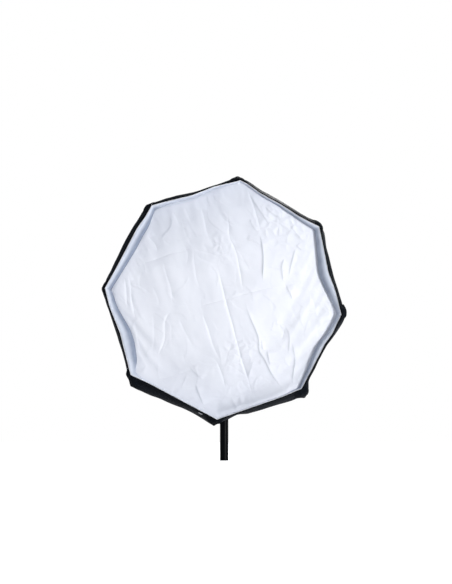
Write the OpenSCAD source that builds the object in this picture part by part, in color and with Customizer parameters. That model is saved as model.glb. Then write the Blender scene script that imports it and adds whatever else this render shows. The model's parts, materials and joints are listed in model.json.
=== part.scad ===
// Octagonal studio softbox with its flash bracket and stand riser.
// Row frame: +Z up, the box faces -Y, and the origin is the centre of the bayonet's mating plane.
// The soft parts are drawn in a local frame whose +Z points forward, out of the box; see facing_front().

/* [Softbox] */
// Radius from the box's axis to a rod's tip
tip_radius = 391; // [340:1:430]
// Angle between a rod's root and the box's axis
rod_splay = 85; // [80:1:88]
// Angle by which a rod's tip leans back towards the axis
rod_toe_in = 12; // [8:1:16]
// Radius of a rod
rod_r = 2.25; // [2:0.25:2.5]
// How far the cover runs past the rods' tips
rim_overhang = 16; // [14:1:22]
// Depth of the lip between the rim and the diffuser
lip_depth = 29; // [24:1:34]
// How far the lip leads inwards
lip_inset = 12; // [11:1:22]
// Roll of the box in its ring at rest, seen from the front
rest_roll = -5.5; // [-10:0.5:10]
// Corner radius of the inner baffle
baffle_r = 250; // [200:5:280]
// Distance of the inner baffle from the bayonet plane
baffle_z = 170; // [150:5:200]

/* [Speed ring] */
// Outer radius of the ring that holds the rods
ring_r = 90; // [88:1:96]
// Radius of the clear way through for the flash head
throat_r = 49; // [48:0.5:50]

/* [Flash clamp] */
// Half the gap between the jaws when they are fully open
jaw_gap_half = 41; // [39:0.5:44]
// Height of the jaw screw below the box's axis
screw_drop = 48; // [46:1:52]

/* [Tilt joint and stand] */
// Distance of the tilt pivot behind the bayonet plane
pivot_y = 85; // [80:1:95]
// Distance of the tilt pivot below the box's axis
pivot_drop = 95; // [93:1:105]
// Radius of the riser tube
riser_r = 15; // [14:0.5:16]
// Distance of the riser's foot below the box's axis
riser_foot = 532; // [400:1:700]

/* [Hidden] */

$fn = 64;
tiny = 0.01;
sides = 8;
step = 360 / sides;
play = 0.05; // radial clearance of a running fit

// Rod: a straight root, one arc and a straight tip, all in a plane through the axis
root_z = 26;
root_len = 60;
tip_len = 18;
socket_from = 2;   // along the root: where the blind bore in the socket starts
socket_to = 16;    // along the root: the socket's mouth
root_dir = [sin(rod_splay), cos(rod_splay)];
tip_dir = [-sin(rod_toe_in), cos(rod_toe_in)];
bow_r = (tip_radius - ring_r - root_len * root_dir[0] - tip_len * tip_dir[0])
    / (cos(rod_toe_in) - cos(rod_splay));
root = [ring_r, root_z];
bow_start = root + root_len * root_dir;
bow_centre = bow_start + bow_r * [-cos(rod_splay), sin(rod_splay)];
bow_end = bow_centre + bow_r * [cos(rod_toe_in), sin(rod_toe_in)];
rod_tip = bow_end + tip_len * tip_dir;

// Cover: layers that follow the rods at set distances outside their centre line
lining_off = 4;
cover_off = 5;
binding_off = 6.2;
pocket_off = 7.4;
cloth = 1;
lining_t = 0.8;
cover_from = 22;   // along the root: where the cover starts, clear of the sockets
bow_steps = 14;
rim_edge = rod_tip + rim_overhang * tip_dir;
binding_len = 20;
pocket_len = 52;
pocket_half_angle = 4.2;

// Lip and diffuser
lip_top = [rim_edge[0] + 2.6, rim_edge[1] - 0.6];
lip_foot = lip_top - [lip_inset, lip_depth];
diffuser_r = lip_foot[0] - 1.5;
diffuser_z = lip_foot[1];
hem_w = 20;
diffuser_t = 1;

// Speed ring, insert and bayonet; z counts forward from the bayonet plane
flange_r = 75;
boss_r = 67;
neck_r = 52;
lug_r = 58;
ring_back = 4;
ring_front = 34;
flange_from = 4.1;
flange_to = 12.9;
retainer_t = 2.95;
knob_z = 9;
roll_knob_angle = 22.5;
mount_r = 78;
mount_depth = 20;
lip_t = 7.5;
pin_angle = 135;
pin_pos_r = 63;
pin_r = 2;
ring_screw_at = 83;
ring_screw_r = 1.5;

// Bracket
plate_top = -64;
plate_t = 8;
plate_half = 30;
plate_from = 20.2;
flange_t = 6;
plate_to = 142;
arm_screw_x = 19;
arm_screw_drop = 60;
arm_screw_r = 2;
rail_screw_x = 20;
rail_screw_dy = 12;
rail_screw_r = 2;
rail_y = 100;
rail_half_y = 18;
rail_t = 6;
rail_end = 64;
end_wall_t = 8;
guide_gap = 11;    // from the jaw screw to each guide rod
guide_r = 3;
screw_r = 4;
jaw_t = 8;
pad_t = 4;
jaw_top = 27;
jaw_root_w = 14;
bolt_r = 4;
ear_r = 18;
tongue_half = 12.4;
ear_from = 14;
ear_t = 8;
shaft_x = -40;
shaft_drop = 83;
shaft_bore_r = 4.2;
shaft_boss_r = 9;
shaft_boss_half = 25;
socket_r = 17;
socket_foot = pivot_drop + 91;
spigot_r = 8;
spigot_top = pivot_drop + 41;
stand_knob_drop = pivot_drop + 65;
neck_groove_r = 6.5;
tube_t = 1.5;

// ---------- shared shapes ----------

// Turns the local frame, whose +Z points out of the box, to the row frame, where the box faces -Y
module facing_front() rotate([90, 0, 0]) children();

// The box's own roll in its ring, in the local frame
module rolled() facing_front() rotate([0, 0, rest_roll]) children();

// Repeats a shape drawn in the local XZ plane at each corner of the octagon
module each_corner(from = 0, to = sides - 1)
    for (i = [from : to]) rotate([0, 0, 90 + i * step]) children();

// Eight flat-sided lathe shape from a [radius, forward] outline
module octagonal(outline) rotate_extrude($fn = sides) polygon(outline);

// Round lathe shape from a [radius, forward] outline
module turned(outline) rotate_extrude($fn = 128) polygon(outline);

// A washer-like ring between two radii and two heights
module ring(r_in, r_out, z0, z1)
    turned([[r_in, z0], [r_out, z0], [r_out, z1], [r_in, z1]]);

// A cylinder along X, Y or Z that starts at a point
module along_x(r, h) rotate([0, 90, 0]) cylinder(r = r, h = h);
module along_y(r, h) rotate([-90, 0, 0]) cylinder(r = r, h = h);

// Box centred in its first two axes, between two heights
module slab(x, y, z0, z1)
    translate([-x / 2, -y / 2, z0]) cube([x, y, z1 - z0]);

// Star-shaped hand knob on +Z, with scallops round its rim
module star_knob(r, h, lobes = 6) {
    difference() {
        union() {
            cylinder(r = r, h = h * 0.8);
            cylinder(r = r * 0.72, h = h);
        }
        for (i = [0 : lobes - 1])
            rotate([0, 0, i * 360 / lobes])
                translate([r * 1.22, 0, -tiny]) cylinder(r = r * 0.42, h = h + 2 * tiny);
    }
}

// Hand knob with its screw pointing down -Z, the screw's tip at the origin
module thumb_screw(shank_r, shank_len, knob_r, knob_h) {
    cylinder(r = shank_r, h = shank_len + 1);
    translate([0, 0, shank_len]) cylinder(r = knob_r * 0.55, h = 3);
    translate([0, 0, shank_len + 2.5]) star_knob(knob_r, knob_h);
}

// Pan-head screw, its head's underside at the origin and its shank down -Z
module pan_screw(r, len) {
    translate([0, 0, -len]) cylinder(r = r, h = len + 0.2);
    difference() {
        cylinder(r = r * 1.9, h = r * 1.1);
        translate([0, 0, r * 0.5]) cylinder(r = r * 0.75, h = r, $fn = 6);
    }
}

// ---------- rods and cloth ----------

// A point of the rods' bow at a tangent angle, moved outwards by off
function bow_point(angle, off) = bow_centre + (bow_r + off) * [cos(angle), -sin(angle)];

// The cover's line at a distance outside the rods, from its rear edge to its rim
function cover_line(off, past = 0) = concat(
    [root + cover_from * root_dir + off * [cos(rod_splay), -sin(rod_splay)]],
    [for (i = [0 : bow_steps])
        bow_point(rod_splay - i * (rod_splay + rod_toe_in) / bow_steps, off)],
    [rim_edge + past * tip_dir + off * [cos(rod_toe_in), sin(rod_toe_in)]]
);

// A closed outline between two such lines
function cover_outline(off, t, past = 0) =
    let (inner = cover_line(off, past), outer = cover_line(off + t, past))
    concat(outer, [for (i = [len(inner) - 1 : -1 : 0]) inner[i]]);

// A closed outline that covers only the last part of that line, back from the rim
function rim_outline(off, t, length) =
    let (
        n = [cos(rod_toe_in), sin(rod_toe_in)],
        back = length - rim_overhang - tip_len,
        a = back > 0 ? back / bow_r * 180 / PI : 0,
        start = back > 0 ? [for (d = [off, off + t]) bow_point(a - rod_toe_in, d)]
            : [for (d = [off, off + t]) rim_edge - length * tip_dir + d * n],
        middle = back > 0 ? [for (d = [off, off + t]) bow_end + d * n] : []
    )
    back > 0
        ? [start[0], start[1], middle[1], rim_edge + (off + t) * n, rim_edge + off * n, middle[0]]
        : [start[0], start[1], rim_edge + (off + t) * n, rim_edge + off * n];

module rod()
    color([0.16, 0.16, 0.17])
        translate([bow_centre[0], 0, bow_centre[1]]) rotate([90, rod_splay, 0]) {
            translate([bow_r, 0, 0]) rotate([90, 0, 0])
                cylinder(r = rod_r, h = root_len - socket_from - 0.1);
            rotate_extrude(angle = rod_splay + rod_toe_in, $fn = 128)
                translate([bow_r, 0]) circle(r = rod_r, $fn = 32);
            rotate([0, 0, rod_splay + rod_toe_in]) translate([bow_r, 0, 0]) rotate([-90, 0, 0]) {
                cylinder(r = rod_r, h = tip_len);
                translate([0, 0, -1.5]) cylinder(r = rod_r + 0.5, h = 3); // crimped collar
            }
        }

module rod_number(i) rolled() each_corner(i - 1, i - 1) rod();

module rod_caps() {
    cap_r = 3.4;
    bore_len = 14.5;
    color([0.05, 0.05, 0.05])
        rolled() each_corner()
            translate([rod_tip[0], 0, rod_tip[1]]) rotate([0, -rod_toe_in, 0])
                difference() {
                    union() {
                        translate([0, 0, -bore_len]) cylinder(r = cap_r, h = bore_len + 1.5);
                        translate([0, 0, 1.5]) sphere(r = cap_r);
                    }
                    translate([0, 0, -bore_len - tiny]) cylinder(r = rod_r + play, h = bore_len + play);
                }
}

module outer_cover()
    color([0.03, 0.03, 0.04]) rolled() octagonal(cover_outline(cover_off, cloth));

module silver_lining()
    color([0.78, 0.79, 0.81]) rolled() octagonal(cover_outline(lining_off, lining_t));

module rim_binding()
    color([0.02, 0.02, 0.03]) rolled() octagonal(rim_outline(binding_off, cloth, binding_len));

// Reinforcing patches over the corners, where the rods' tips push
module corner_pockets() {
    reach = tip_radius + 60;
    color([0.02, 0.02, 0.02])
        rolled() intersection() {
            octagonal(rim_outline(pocket_off, cloth, pocket_len));
            union()
                each_corner()
                    linear_extrude(rim_edge[1] + 40)
                        polygon([[0, 0], reach * [cos(pocket_half_angle), sin(pocket_half_angle)],
                            reach * [cos(pocket_half_angle), -sin(pocket_half_angle)]]);
        }
}

// Band that leads from the rim inwards and back to the diffuser
module front_lip()
    color([0.86, 0.88, 0.92])
        rolled() octagonal([lip_top, lip_top - [1.2, 0.2], lip_foot - [1.2, 0.2], lip_foot]);

// Blank tag that lies on the binding, beside the lowest corner
module label_tag() {
    tag = [0.6, 13, 9];  // through, along the edge, and back from the rim
    from_corner = 8;     // degrees round from the corner
    behind_rim = 8;
    flat = (rim_edge[0] + (binding_off + cloth) * cos(rod_toe_in)) * cos(step / 2);
    lean = atan(tan(rod_toe_in) * cos(step / 2));
    from_middle = flat * tan(step / 2 - from_corner);
    color([0.95, 0.95, 0.95])
        rolled() rotate([0, 0, 270 - step / 2])
            translate([flat, from_middle, rim_edge[1]]) rotate([0, -lean, 0])
                translate([0.7, -tag[1] / 2, -behind_rim - tag[2]]) cube(tag);
}

// Elastic collar that closes the cover round the back of the speed ring
module ring_sleeve() {
    z = 19;
    color([0.04, 0.04, 0.04]) rolled() ring(ring_r + 0.6, ring_r + 24, z, z + 1.2);
}

module inner_baffle()
    color([0.93, 0.94, 0.96])
        rolled() translate([0, 0, baffle_z]) cylinder(r = baffle_r, h = 1, $fn = sides);

baffle_rod_r = bow_centre[0] + sqrt(bow_r * bow_r - pow(bow_centre[1] - baffle_z, 2));
strap_end = baffle_rod_r - 8;

module baffle_straps()
    color([0.1, 0.1, 0.1])
        rolled() each_corner()
            translate([baffle_r - 12, -9, baffle_z + 1.1]) cube([strap_end - baffle_r + 12, 18, 0.9]);

module baffle_snaps()
    color([0.75, 0.75, 0.76])
        rolled() each_corner()
            for (x = [baffle_r - 6, strap_end - 10])
                translate([x, 0, baffle_z + 2.1]) {
                    cylinder(r = 5, h = 1);
                    cylinder(r = 3, h = 2);
                }

module front_diffuser()
    color([0.95, 0.96, 1])
        rolled() translate([0, 0, diffuser_z]) cylinder(r = diffuser_r, h = diffuser_t, $fn = sides);

module diffuser_hem()
    color([0.9, 0.91, 0.93])
        rolled() octagonal([
            [diffuser_r - hem_w, diffuser_z - 1.3], [diffuser_r, diffuser_z - 1.3],
            [diffuser_r, diffuser_z - 0.1], [diffuser_r - hem_w, diffuser_z - 0.1]]);

// ---------- speed ring ----------

// Places a shape whose +Z is radial at one of the two roll knobs
module at_roll_knob(turn)
    rolled() rotate([0, 0, roll_knob_angle + turn]) translate([0, 0, knob_z]) rotate([0, 90, 0])
        children();

module speedring()
    color([0.12, 0.12, 0.13]) difference() {
        union() {
            rolled() turned([
                [flange_r + 0.08, ring_back], [ring_r, ring_back], [ring_r, ring_front - 3],
                [ring_r - 3, ring_front], [boss_r + 1, ring_front], [boss_r + 1, flange_to + 0.1],
                [flange_r + 0.08, flange_to + 0.1]]);
            rolled() each_corner()
                translate([root[0], 0, root[1]]) rotate([0, rod_splay, 0])
                    translate([0, 0, -6]) cylinder(r = 5.5, h = socket_to + 6);
        }
        rolled() each_corner()
            translate([root[0], 0, root[1]]) rotate([0, rod_splay, 0])
                translate([0, 0, socket_from]) cylinder(r = rod_r + play, h = socket_to);
        for (turn = [0, 180])
            at_roll_knob(turn) translate([0, 0, flange_r - 4]) cylinder(r = 2.5 + play, h = 30);
        rolled() for (a = [0 : 90 : 270]) rotate([0, 0, a])
            translate([ring_screw_at, 0, ring_back - 1]) cylinder(r = ring_screw_r + play, h = 9.1);
    }

module retaining_ring()
    color([0.6, 0.61, 0.62]) rolled() difference() {
        ring(boss_r + 1, ring_r - 2, 1, 1 + retainer_t);
        for (a = [0 : 90 : 270]) rotate([0, 0, a])
            translate([ring_screw_at, 0, 0]) cylinder(r = ring_screw_r + play, h = 6);
    }

module ring_screws()
    color([0.7, 0.7, 0.72]) rolled()
        for (a = [0 : 90 : 270]) rotate([0, 0, a])
            translate([ring_screw_at, 0, 0.95]) rotate([180, 0, 0]) pan_screw(ring_screw_r, 10);

module roll_knob(turn)
    color([0.04, 0.04, 0.04])
        at_roll_knob(turn) translate([0, 0, flange_r + 0.1]) thumb_screw(2.5, 19, 7.5, 12);

// ---------- bayonet ----------

// Three wedge-shaped rings, for the lugs and for the slots that let them in
module bayonet_sectors(r_in, r_out, z0, z1, width, first)
    for (a = [0 : 120 : 240]) rotate([0, 0, a + first - width / 2])
        rotate_extrude(angle = width, $fn = 128)
            translate([r_in, z0]) square([r_out - r_in, z1 - z0]);

module bayonet_insert()
    color([0.72, 0.73, 0.74]) facing_front() difference() {
        union() {
            turned([
                [throat_r, flange_to], [throat_r, -14], [neck_r, -14], [neck_r, 0.05],
                [boss_r, 0.05], [boss_r, flange_from], [flange_r, flange_from],
                [flange_r, flange_to]]);
            bayonet_sectors(neck_r - 1, lug_r, -12, -8, 30, 90);
        }
        rotate([0, 0, pin_angle]) translate([pin_pos_r, 0, -1]) cylinder(r = pin_r + 0.1, h = 4.2);
    }

module mount_ring()
    color([0.05, 0.05, 0.055]) facing_front() difference() {
        turned([
            [neck_r + 1, 0], [neck_r + 1, -lip_t], [lug_r + 1.5, -lip_t],
            [lug_r + 1.5, -mount_depth], [mount_r - 2, -mount_depth], [mount_r, -mount_depth + 2],
            [mount_r, -2], [mount_r - 2, 0]]);
        bayonet_sectors(neck_r, lug_r + 1, -lip_t - 1, 1, 34, 150);
        rotate([0, 0, pin_angle]) translate([pin_pos_r, 0, -mount_depth - 1])
            cylinder(r = pin_r + play, h = mount_depth + 2);
        for (x = [-arm_screw_x, arm_screw_x])
            translate([x, -arm_screw_drop, -mount_depth - 1])
                cylinder(r = arm_screw_r + play, h = 12);
    }

// Spring pin that stops the insert from turning; pulled back by its button to free it
module release_pin()
    color([0.55, 0.1, 0.08]) facing_front() rotate([0, 0, pin_angle]) translate([pin_pos_r, 0, 0]) {
        translate([0, 0, -mount_depth - 8]) cylinder(r = pin_r, h = mount_depth + 11);
        translate([0, 0, -mount_depth - 9]) cylinder(r = 6.5, h = 5);
        translate([0, 0, -mount_depth - 12]) cylinder(r = 5, h = 4);
    }

// ---------- bracket arm and flash clamp ----------

module bracket_arm()
    color([0.05, 0.05, 0.055]) difference() {
        union() {
            translate([-plate_half, plate_from, plate_top - plate_t])
                cube([2 * plate_half, plate_to - plate_from, plate_t]);
            // front flange against the mount ring, cut to a curve that clears the throat
            difference() {
                translate([-34, plate_from, plate_top - plate_t]) cube([68, flange_t, 22]);
                translate([0, plate_from - 1, 0]) along_y(lug_r + 1.5, 8);
            }
            // two gussets
            for (x = [-plate_half, plate_half - 6])
                translate([x, plate_from + 5, plate_top]) rotate([90, 0, 90])
                    linear_extrude(6) polygon([[0, 0], [24, 0], [0, 13]]);
            // tilt ears
            for (x = [-ear_from - ear_t, ear_from]) {
                translate([x, pivot_y, -pivot_drop]) along_x(ear_r, ear_t);
                translate([x, pivot_y - ear_r, -pivot_drop])
                    cube([ear_t, 2 * ear_r, pivot_drop + plate_top - 1]);
            }
            // umbrella shaft boss
            translate([shaft_x, pivot_y - shaft_boss_half, -shaft_drop])
                along_y(shaft_boss_r, 2 * shaft_boss_half);
            translate([shaft_x, pivot_y - shaft_boss_half, plate_top - plate_t - 4])
                cube([16, 2 * shaft_boss_half, plate_t + 4]);
        }
        translate([-30, pivot_y, -pivot_drop]) along_x(bolt_r + play, 60);
        translate([shaft_x, pivot_y - shaft_boss_half - 1, -shaft_drop])
            along_y(shaft_bore_r, 2 * shaft_boss_half + 2);
        translate([shaft_x - shaft_boss_r - 1, pivot_y, -shaft_drop])
            along_x(3 + play, shaft_boss_r + 1 - shaft_bore_r + 1);
        for (x = [-arm_screw_x, arm_screw_x])
            translate([x, plate_from - 1, -arm_screw_drop]) along_y(arm_screw_r + play, flange_t + 2);
        for (x = [-rail_screw_x, rail_screw_x], y = [-rail_screw_dy, rail_screw_dy])
            translate([x, rail_y + y, plate_top - 6]) cylinder(r = rail_screw_r + play, h = 7);
    }

module arm_screws()
    color([0.6, 0.6, 0.62])
        for (x = [-arm_screw_x, arm_screw_x])
            translate([x, plate_from + flange_t + 0.05, -arm_screw_drop])
                rotate([-90, 0, 0]) pan_screw(arm_screw_r, 14);

module clamp_rail()
    color([0.09, 0.09, 0.1]) difference() {
        union() {
            translate([0, rail_y, 0])
                slab(2 * (rail_end + end_wall_t), 2 * rail_half_y, plate_top + 0.05, plate_top + rail_t);
            for (x = [-rail_end - end_wall_t, rail_end])
                translate([x, rail_y - rail_half_y, plate_top + rail_t - 1])
                    cube([end_wall_t, 2 * rail_half_y, 22]);
        }
        for (y = [-guide_gap, guide_gap])
            translate([-rail_end - end_wall_t - 1, rail_y + y, -screw_drop])
                along_x(guide_r + play, 2 * (rail_end + end_wall_t) + 2);
        translate([-rail_end - end_wall_t - 1, rail_y, -screw_drop])
            along_x(screw_r + play, 2 * (rail_end + end_wall_t) + 2);
        for (x = [-rail_screw_x, rail_screw_x], y = [-rail_screw_dy, rail_screw_dy])
            translate([x, rail_y + y, plate_top - 1]) {
                cylinder(r = rail_screw_r + play, h = 9);
                translate([0, 0, rail_t - 2]) cylinder(r = 2 * rail_screw_r, h = 5); // counterbore
            }
    }

module rail_screws()
    color([0.6, 0.6, 0.62])
        for (x = [-rail_screw_x, rail_screw_x], y = [-rail_screw_dy, rail_screw_dy])
            translate([x, rail_y + y, plate_top + rail_t - 2.95]) pan_screw(rail_screw_r, 8);

module guide_rods()
    color([0.8, 0.8, 0.82])
        for (y = [-guide_gap, guide_gap])
            translate([-rail_end - end_wall_t + 0.5, rail_y + y, -screw_drop])
                along_x(guide_r, 2 * (rail_end + end_wall_t) - 1);

// Left- and right-handed screw that draws both jaws in together
module clamp_screw()
    color([0.75, 0.75, 0.77])
        translate([-rail_end - end_wall_t - 6, rail_y, -screw_drop])
            along_x(screw_r, 2 * (rail_end + end_wall_t) + 18);

module clamp_knob()
    color([0.03, 0.03, 0.03])
        translate([rail_end + end_wall_t + 0.5, rail_y, -screw_drop]) rotate([0, 90, 0])
            difference() {
                union() {
                    cylinder(r = 9, h = 5);
                    translate([0, 0, 4]) star_knob(15, 16);
                }
                translate([0, 0, -1]) cylinder(r = screw_r + play, h = 13);
            }

module screw_collar()
    color([0.7, 0.7, 0.72])
        translate([-rail_end - end_wall_t - 5.5, rail_y, -screw_drop]) rotate([0, 90, 0])
            difference() {
                cylinder(r = 8, h = 5);
                translate([0, 0, -1]) cylinder(r = screw_r + play, h = 7);
            }

// A jaw: root block on the rods with an upright plate; side is 1 on the right and -1 on the left
module jaw(side)
    color([0.06, 0.06, 0.065]) translate([0, rail_y, 0]) mirror([side < 0 ? 1 : 0, 0, 0])
        difference() {
            union() {
                translate([jaw_gap_half + pad_t + jaw_t - jaw_root_w, -16, -screw_drop - 8])
                    cube([jaw_root_w, 32, 16]);
                translate([jaw_gap_half + pad_t, -16, -screw_drop]) cube([jaw_t, 32, screw_drop]);
                translate([jaw_gap_half + pad_t, -16, 0]) cube([jaw_t, 32, jaw_top - 16]);
                translate([jaw_gap_half + pad_t, 0, jaw_top - 16]) along_x(16, jaw_t);
            }
            for (y = [-guide_gap, guide_gap])
                translate([0, y, -screw_drop]) along_x(guide_r + play, 90);
            translate([0, 0, -screw_drop]) along_x(screw_r + play, 90);
        }

// Ribbed rubber pad glued to a jaw's face
module jaw_pad(side)
    color([0.12, 0.12, 0.12]) translate([0, rail_y, 0]) mirror([side < 0 ? 1 : 0, 0, 0])
        difference() {
            translate([jaw_gap_half, -14, -26]) cube([pad_t - 0.05, 28, 46]);
            for (z = [-22 : 6 : 16])
                translate([jaw_gap_half - tiny, -15, z]) cube([1.6, 30, 2.4]);
        }

// ---------- tilt joint ----------

module tilt_bolt()
    color([0.72, 0.72, 0.74]) translate([0, pivot_y, -pivot_drop]) {
        translate([-23, 0, 0]) along_x(bolt_r, 64);
        translate([-28.5, 0, 0]) rotate([0, 90, 0]) cylinder(r = 7.5, h = 6, $fn = 6);
    }

module tilt_washers()
    color([0.35, 0.3, 0.22]) translate([0, pivot_y, -pivot_drop])
        for (x = [-ear_from + 0.05, tongue_half + 0.15])
            translate([x, 0, 0]) rotate([0, 90, 0]) difference() {
                cylinder(r = 15, h = 1.4);
                translate([0, 0, -1]) cylinder(r = bolt_r + play, h = 4);
            }

module tilt_nut()
    color([0.72, 0.72, 0.74])
        translate([ear_from + ear_t + 0.3, pivot_y, -pivot_drop]) rotate([0, 90, 0]) difference() {
            cylinder(r = 10.5, h = 4);
            translate([0, 0, -1]) cylinder(r = bolt_r + play, h = 6);
        }

lever_from = ear_from + ear_t + 4.6;
lever_hub_r = 12;
lever_hub_w = 16;
lever_len = 72;
lever_rake = 35;

// Clamping lever: a hollow hub on the bolt and a tapered arm that points down and back
module tilt_lever()
    color([0.04, 0.04, 0.045])
        translate([lever_from, pivot_y, -pivot_drop]) difference() {
            union() {
                along_x(lever_hub_r, lever_hub_w);
                rotate([-lever_rake, 0, 0]) {
                    translate([8, 0, -lever_len]) cylinder(r1 = 7, r2 = 5.5, h = lever_len);
                    translate([8, 0, -lever_len]) sphere(r = 7);
                }
            }
            translate([-1, 0, 0]) along_x(bolt_r + play, lever_hub_w + 2);
            translate([5, 0, 0]) along_x(8, lever_hub_w);
        }

// Spring inside the lever's hub, which lets the lever lift and turn to a new angle
module lever_spring() {
    coils = 4;
    per_turn = 16;
    wire = 0.6;
    coil_r = 6.2;
    pitch = 1.7;
    section = [for (k = [0 : 5]) [coil_r + wire * cos(60 * k), wire * sin(60 * k)]];
    n = coils * per_turn;
    points = [for (i = [0 : n], p = section)
        let (a = 360 * i / per_turn)
        [p[0] * cos(a), p[0] * sin(a), p[1] + pitch * i / per_turn]];
    walls = [for (i = [0 : n - 1], k = [0 : 5])
        [6 * i + k, 6 * i + (k + 1) % 6, 6 * (i + 1) + (k + 1) % 6, 6 * (i + 1) + k]];
    ends = [[for (k = [5 : -1 : 0]) k], [for (k = [0 : 5]) 6 * n + k]];
    color([0.75, 0.75, 0.76])
        translate([lever_from + 5.8, pivot_y, -pivot_drop]) rotate([0, 90, 0])
            polyhedron(points, concat(ends, walls));
}

module lever_cap()
    color([0.1, 0.1, 0.1])
        translate([lever_from + lever_hub_w + 0.1, pivot_y, -pivot_drop]) along_x(8.5, 2.5);

// Thumb screw that would hold an umbrella's shaft in the boss
module shaft_knob()
    color([0.04, 0.04, 0.04])
        translate([shaft_x - shaft_bore_r - 0.2, pivot_y, -shaft_drop]) rotate([0, -90, 0])
            thumb_screw(3, 10, 9, 12);

// ---------- stand socket and riser ----------

module stand_socket()
    color([0.05, 0.05, 0.055]) difference() {
        union() {
            translate([-tongue_half, pivot_y, -pivot_drop]) along_x(17, 2 * tongue_half);
            translate([-tongue_half, pivot_y - 16, -pivot_drop - 24]) cube([2 * tongue_half, 32, 24]);
            translate([0, pivot_y, -socket_foot]) cylinder(r = socket_r, h = socket_foot - pivot_drop - 19);
            translate([-socket_r - 6, pivot_y, -stand_knob_drop]) along_x(8, 14);
        }
        translate([-30, pivot_y, -pivot_drop]) along_x(bolt_r + play, 60);
        translate([0, pivot_y, -socket_foot - 1])
            cylinder(r = spigot_r + play, h = socket_foot - spigot_top + 3);
        translate([-socket_r - 8, pivot_y, -stand_knob_drop]) along_x(4 + play, 22);
    }

module stand_knob()
    color([0.04, 0.04, 0.04])
        translate([-neck_groove_r - 0.2, pivot_y, -stand_knob_drop]) rotate([0, -90, 0])
            thumb_screw(4, 18, 15, 15);

module riser_spigot()
    color([0.7, 0.7, 0.72]) translate([0, pivot_y, 0]) {
        groove = [-stand_knob_drop - 5, -stand_knob_drop + 5];
        foot = -socket_foot - 1;
        turned([
            [0, -spigot_top], [spigot_r - 1, -spigot_top], [spigot_r, -spigot_top - 1],
            [spigot_r, groove[1] + 1.5], [neck_groove_r, groove[1]], [neck_groove_r, groove[0]],
            [spigot_r, groove[0] - 1.5], [spigot_r, foot], [riser_r, foot], [riser_r, foot - 3],
            [riser_r - tube_t - play, foot - 3], [riser_r - tube_t - play, foot - 22], [0, foot - 22]]);
    }

module riser_tube()
    color([0.04, 0.04, 0.045]) translate([0, pivot_y, 0])
        ring(riser_r - tube_t, riser_r, -riser_foot, -socket_foot - 4.05);

module riser_bush()
    color([0.08, 0.08, 0.08]) translate([0, pivot_y, 0])
        ring(riser_r - tube_t - 4, riser_r - tube_t - play, -riser_foot + 0.5, -riser_foot + 26);

// ---------- every node ----------

rod_number(1);  // rod_1
rod_number(2);  // rod_2
rod_number(3);  // rod_3
rod_number(4);  // rod_4
rod_number(5);  // rod_5
rod_number(6);  // rod_6
rod_number(7);  // rod_7
rod_number(8);  // rod_8
rod_caps();
outer_cover();
silver_lining();
rim_binding();
corner_pockets();
front_lip();
label_tag();
ring_sleeve();
inner_baffle();
baffle_straps();
baffle_snaps();
front_diffuser();
diffuser_hem();
speedring();
retaining_ring();
ring_screws();
roll_knob(180);  // roll_knob_left
roll_knob(0);  // roll_knob_right
bayonet_insert();
mount_ring();
release_pin();
bracket_arm();
arm_screws();
clamp_rail();
rail_screws();
guide_rods();
clamp_screw();
clamp_knob();
screw_collar();
jaw(-1);  // jaw_left
jaw(1);  // jaw_right
jaw_pad(-1);  // jaw_pad_left
jaw_pad(1);  // jaw_pad_right
tilt_bolt();
tilt_washers();
tilt_nut();
tilt_lever();
lever_spring();
lever_cap();
shaft_knob();
stand_socket();
stand_knob();
riser_spigot();
riser_tube();
riser_bush();
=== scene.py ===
"""Looks of an octagonal studio softbox on its flash bracket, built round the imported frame.

Lengths are in metres. A point on the box is given by its distance from the box's axis, its angle round the
axis (degrees, anticlockwise from +X as the viewer in front sees it) and how far forward it lies (along -Y).
"""

import json
import math

import bpy
import numpy as np
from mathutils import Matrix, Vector, noise
from mathutils.geometry import delaunay_2d_cdt
from mathutils.kdtree import KDTree


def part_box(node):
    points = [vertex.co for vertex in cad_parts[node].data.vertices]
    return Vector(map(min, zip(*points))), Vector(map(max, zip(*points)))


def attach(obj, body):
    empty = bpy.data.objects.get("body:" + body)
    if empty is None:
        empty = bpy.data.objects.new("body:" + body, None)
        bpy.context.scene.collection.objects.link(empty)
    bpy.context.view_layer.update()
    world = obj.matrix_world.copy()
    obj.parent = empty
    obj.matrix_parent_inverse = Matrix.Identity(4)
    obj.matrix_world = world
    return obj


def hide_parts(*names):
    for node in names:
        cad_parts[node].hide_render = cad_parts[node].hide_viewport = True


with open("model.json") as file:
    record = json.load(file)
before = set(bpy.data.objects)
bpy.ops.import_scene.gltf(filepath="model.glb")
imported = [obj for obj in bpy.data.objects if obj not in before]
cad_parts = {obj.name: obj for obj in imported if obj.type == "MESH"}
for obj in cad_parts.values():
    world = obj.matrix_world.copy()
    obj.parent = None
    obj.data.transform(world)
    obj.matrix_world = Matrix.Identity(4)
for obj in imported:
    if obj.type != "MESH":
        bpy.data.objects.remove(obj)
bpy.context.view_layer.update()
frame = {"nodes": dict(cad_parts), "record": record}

# ---------- driving dimensions ----------

ROLL = -5.5                     # the box's roll at rest, degrees
SIDES = 8
STEP = 360 / SIDES
CORNERS = [90 + ROLL - STEP * i for i in range(SIDES)]   # clockwise from the top corner

SPLAY, TOE_IN = math.radians(85), math.radians(12)
ROOT = np.array([0.090, 0.026])  # where a rod's root starts: out from the axis, and forward
ROOT_LEN, TIP_LEN, RIM_OVERHANG = 0.060, 0.018, 0.016
TIP_R = 0.391
BOW_R = (TIP_R - ROOT[0] - ROOT_LEN * math.sin(SPLAY) + TIP_LEN * math.sin(TOE_IN)) / (
    math.cos(TOE_IN) - math.cos(SPLAY))
COVER_FROM = 0.022              # along the root, where the cover starts


# ---------- points and small maths ----------

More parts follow.
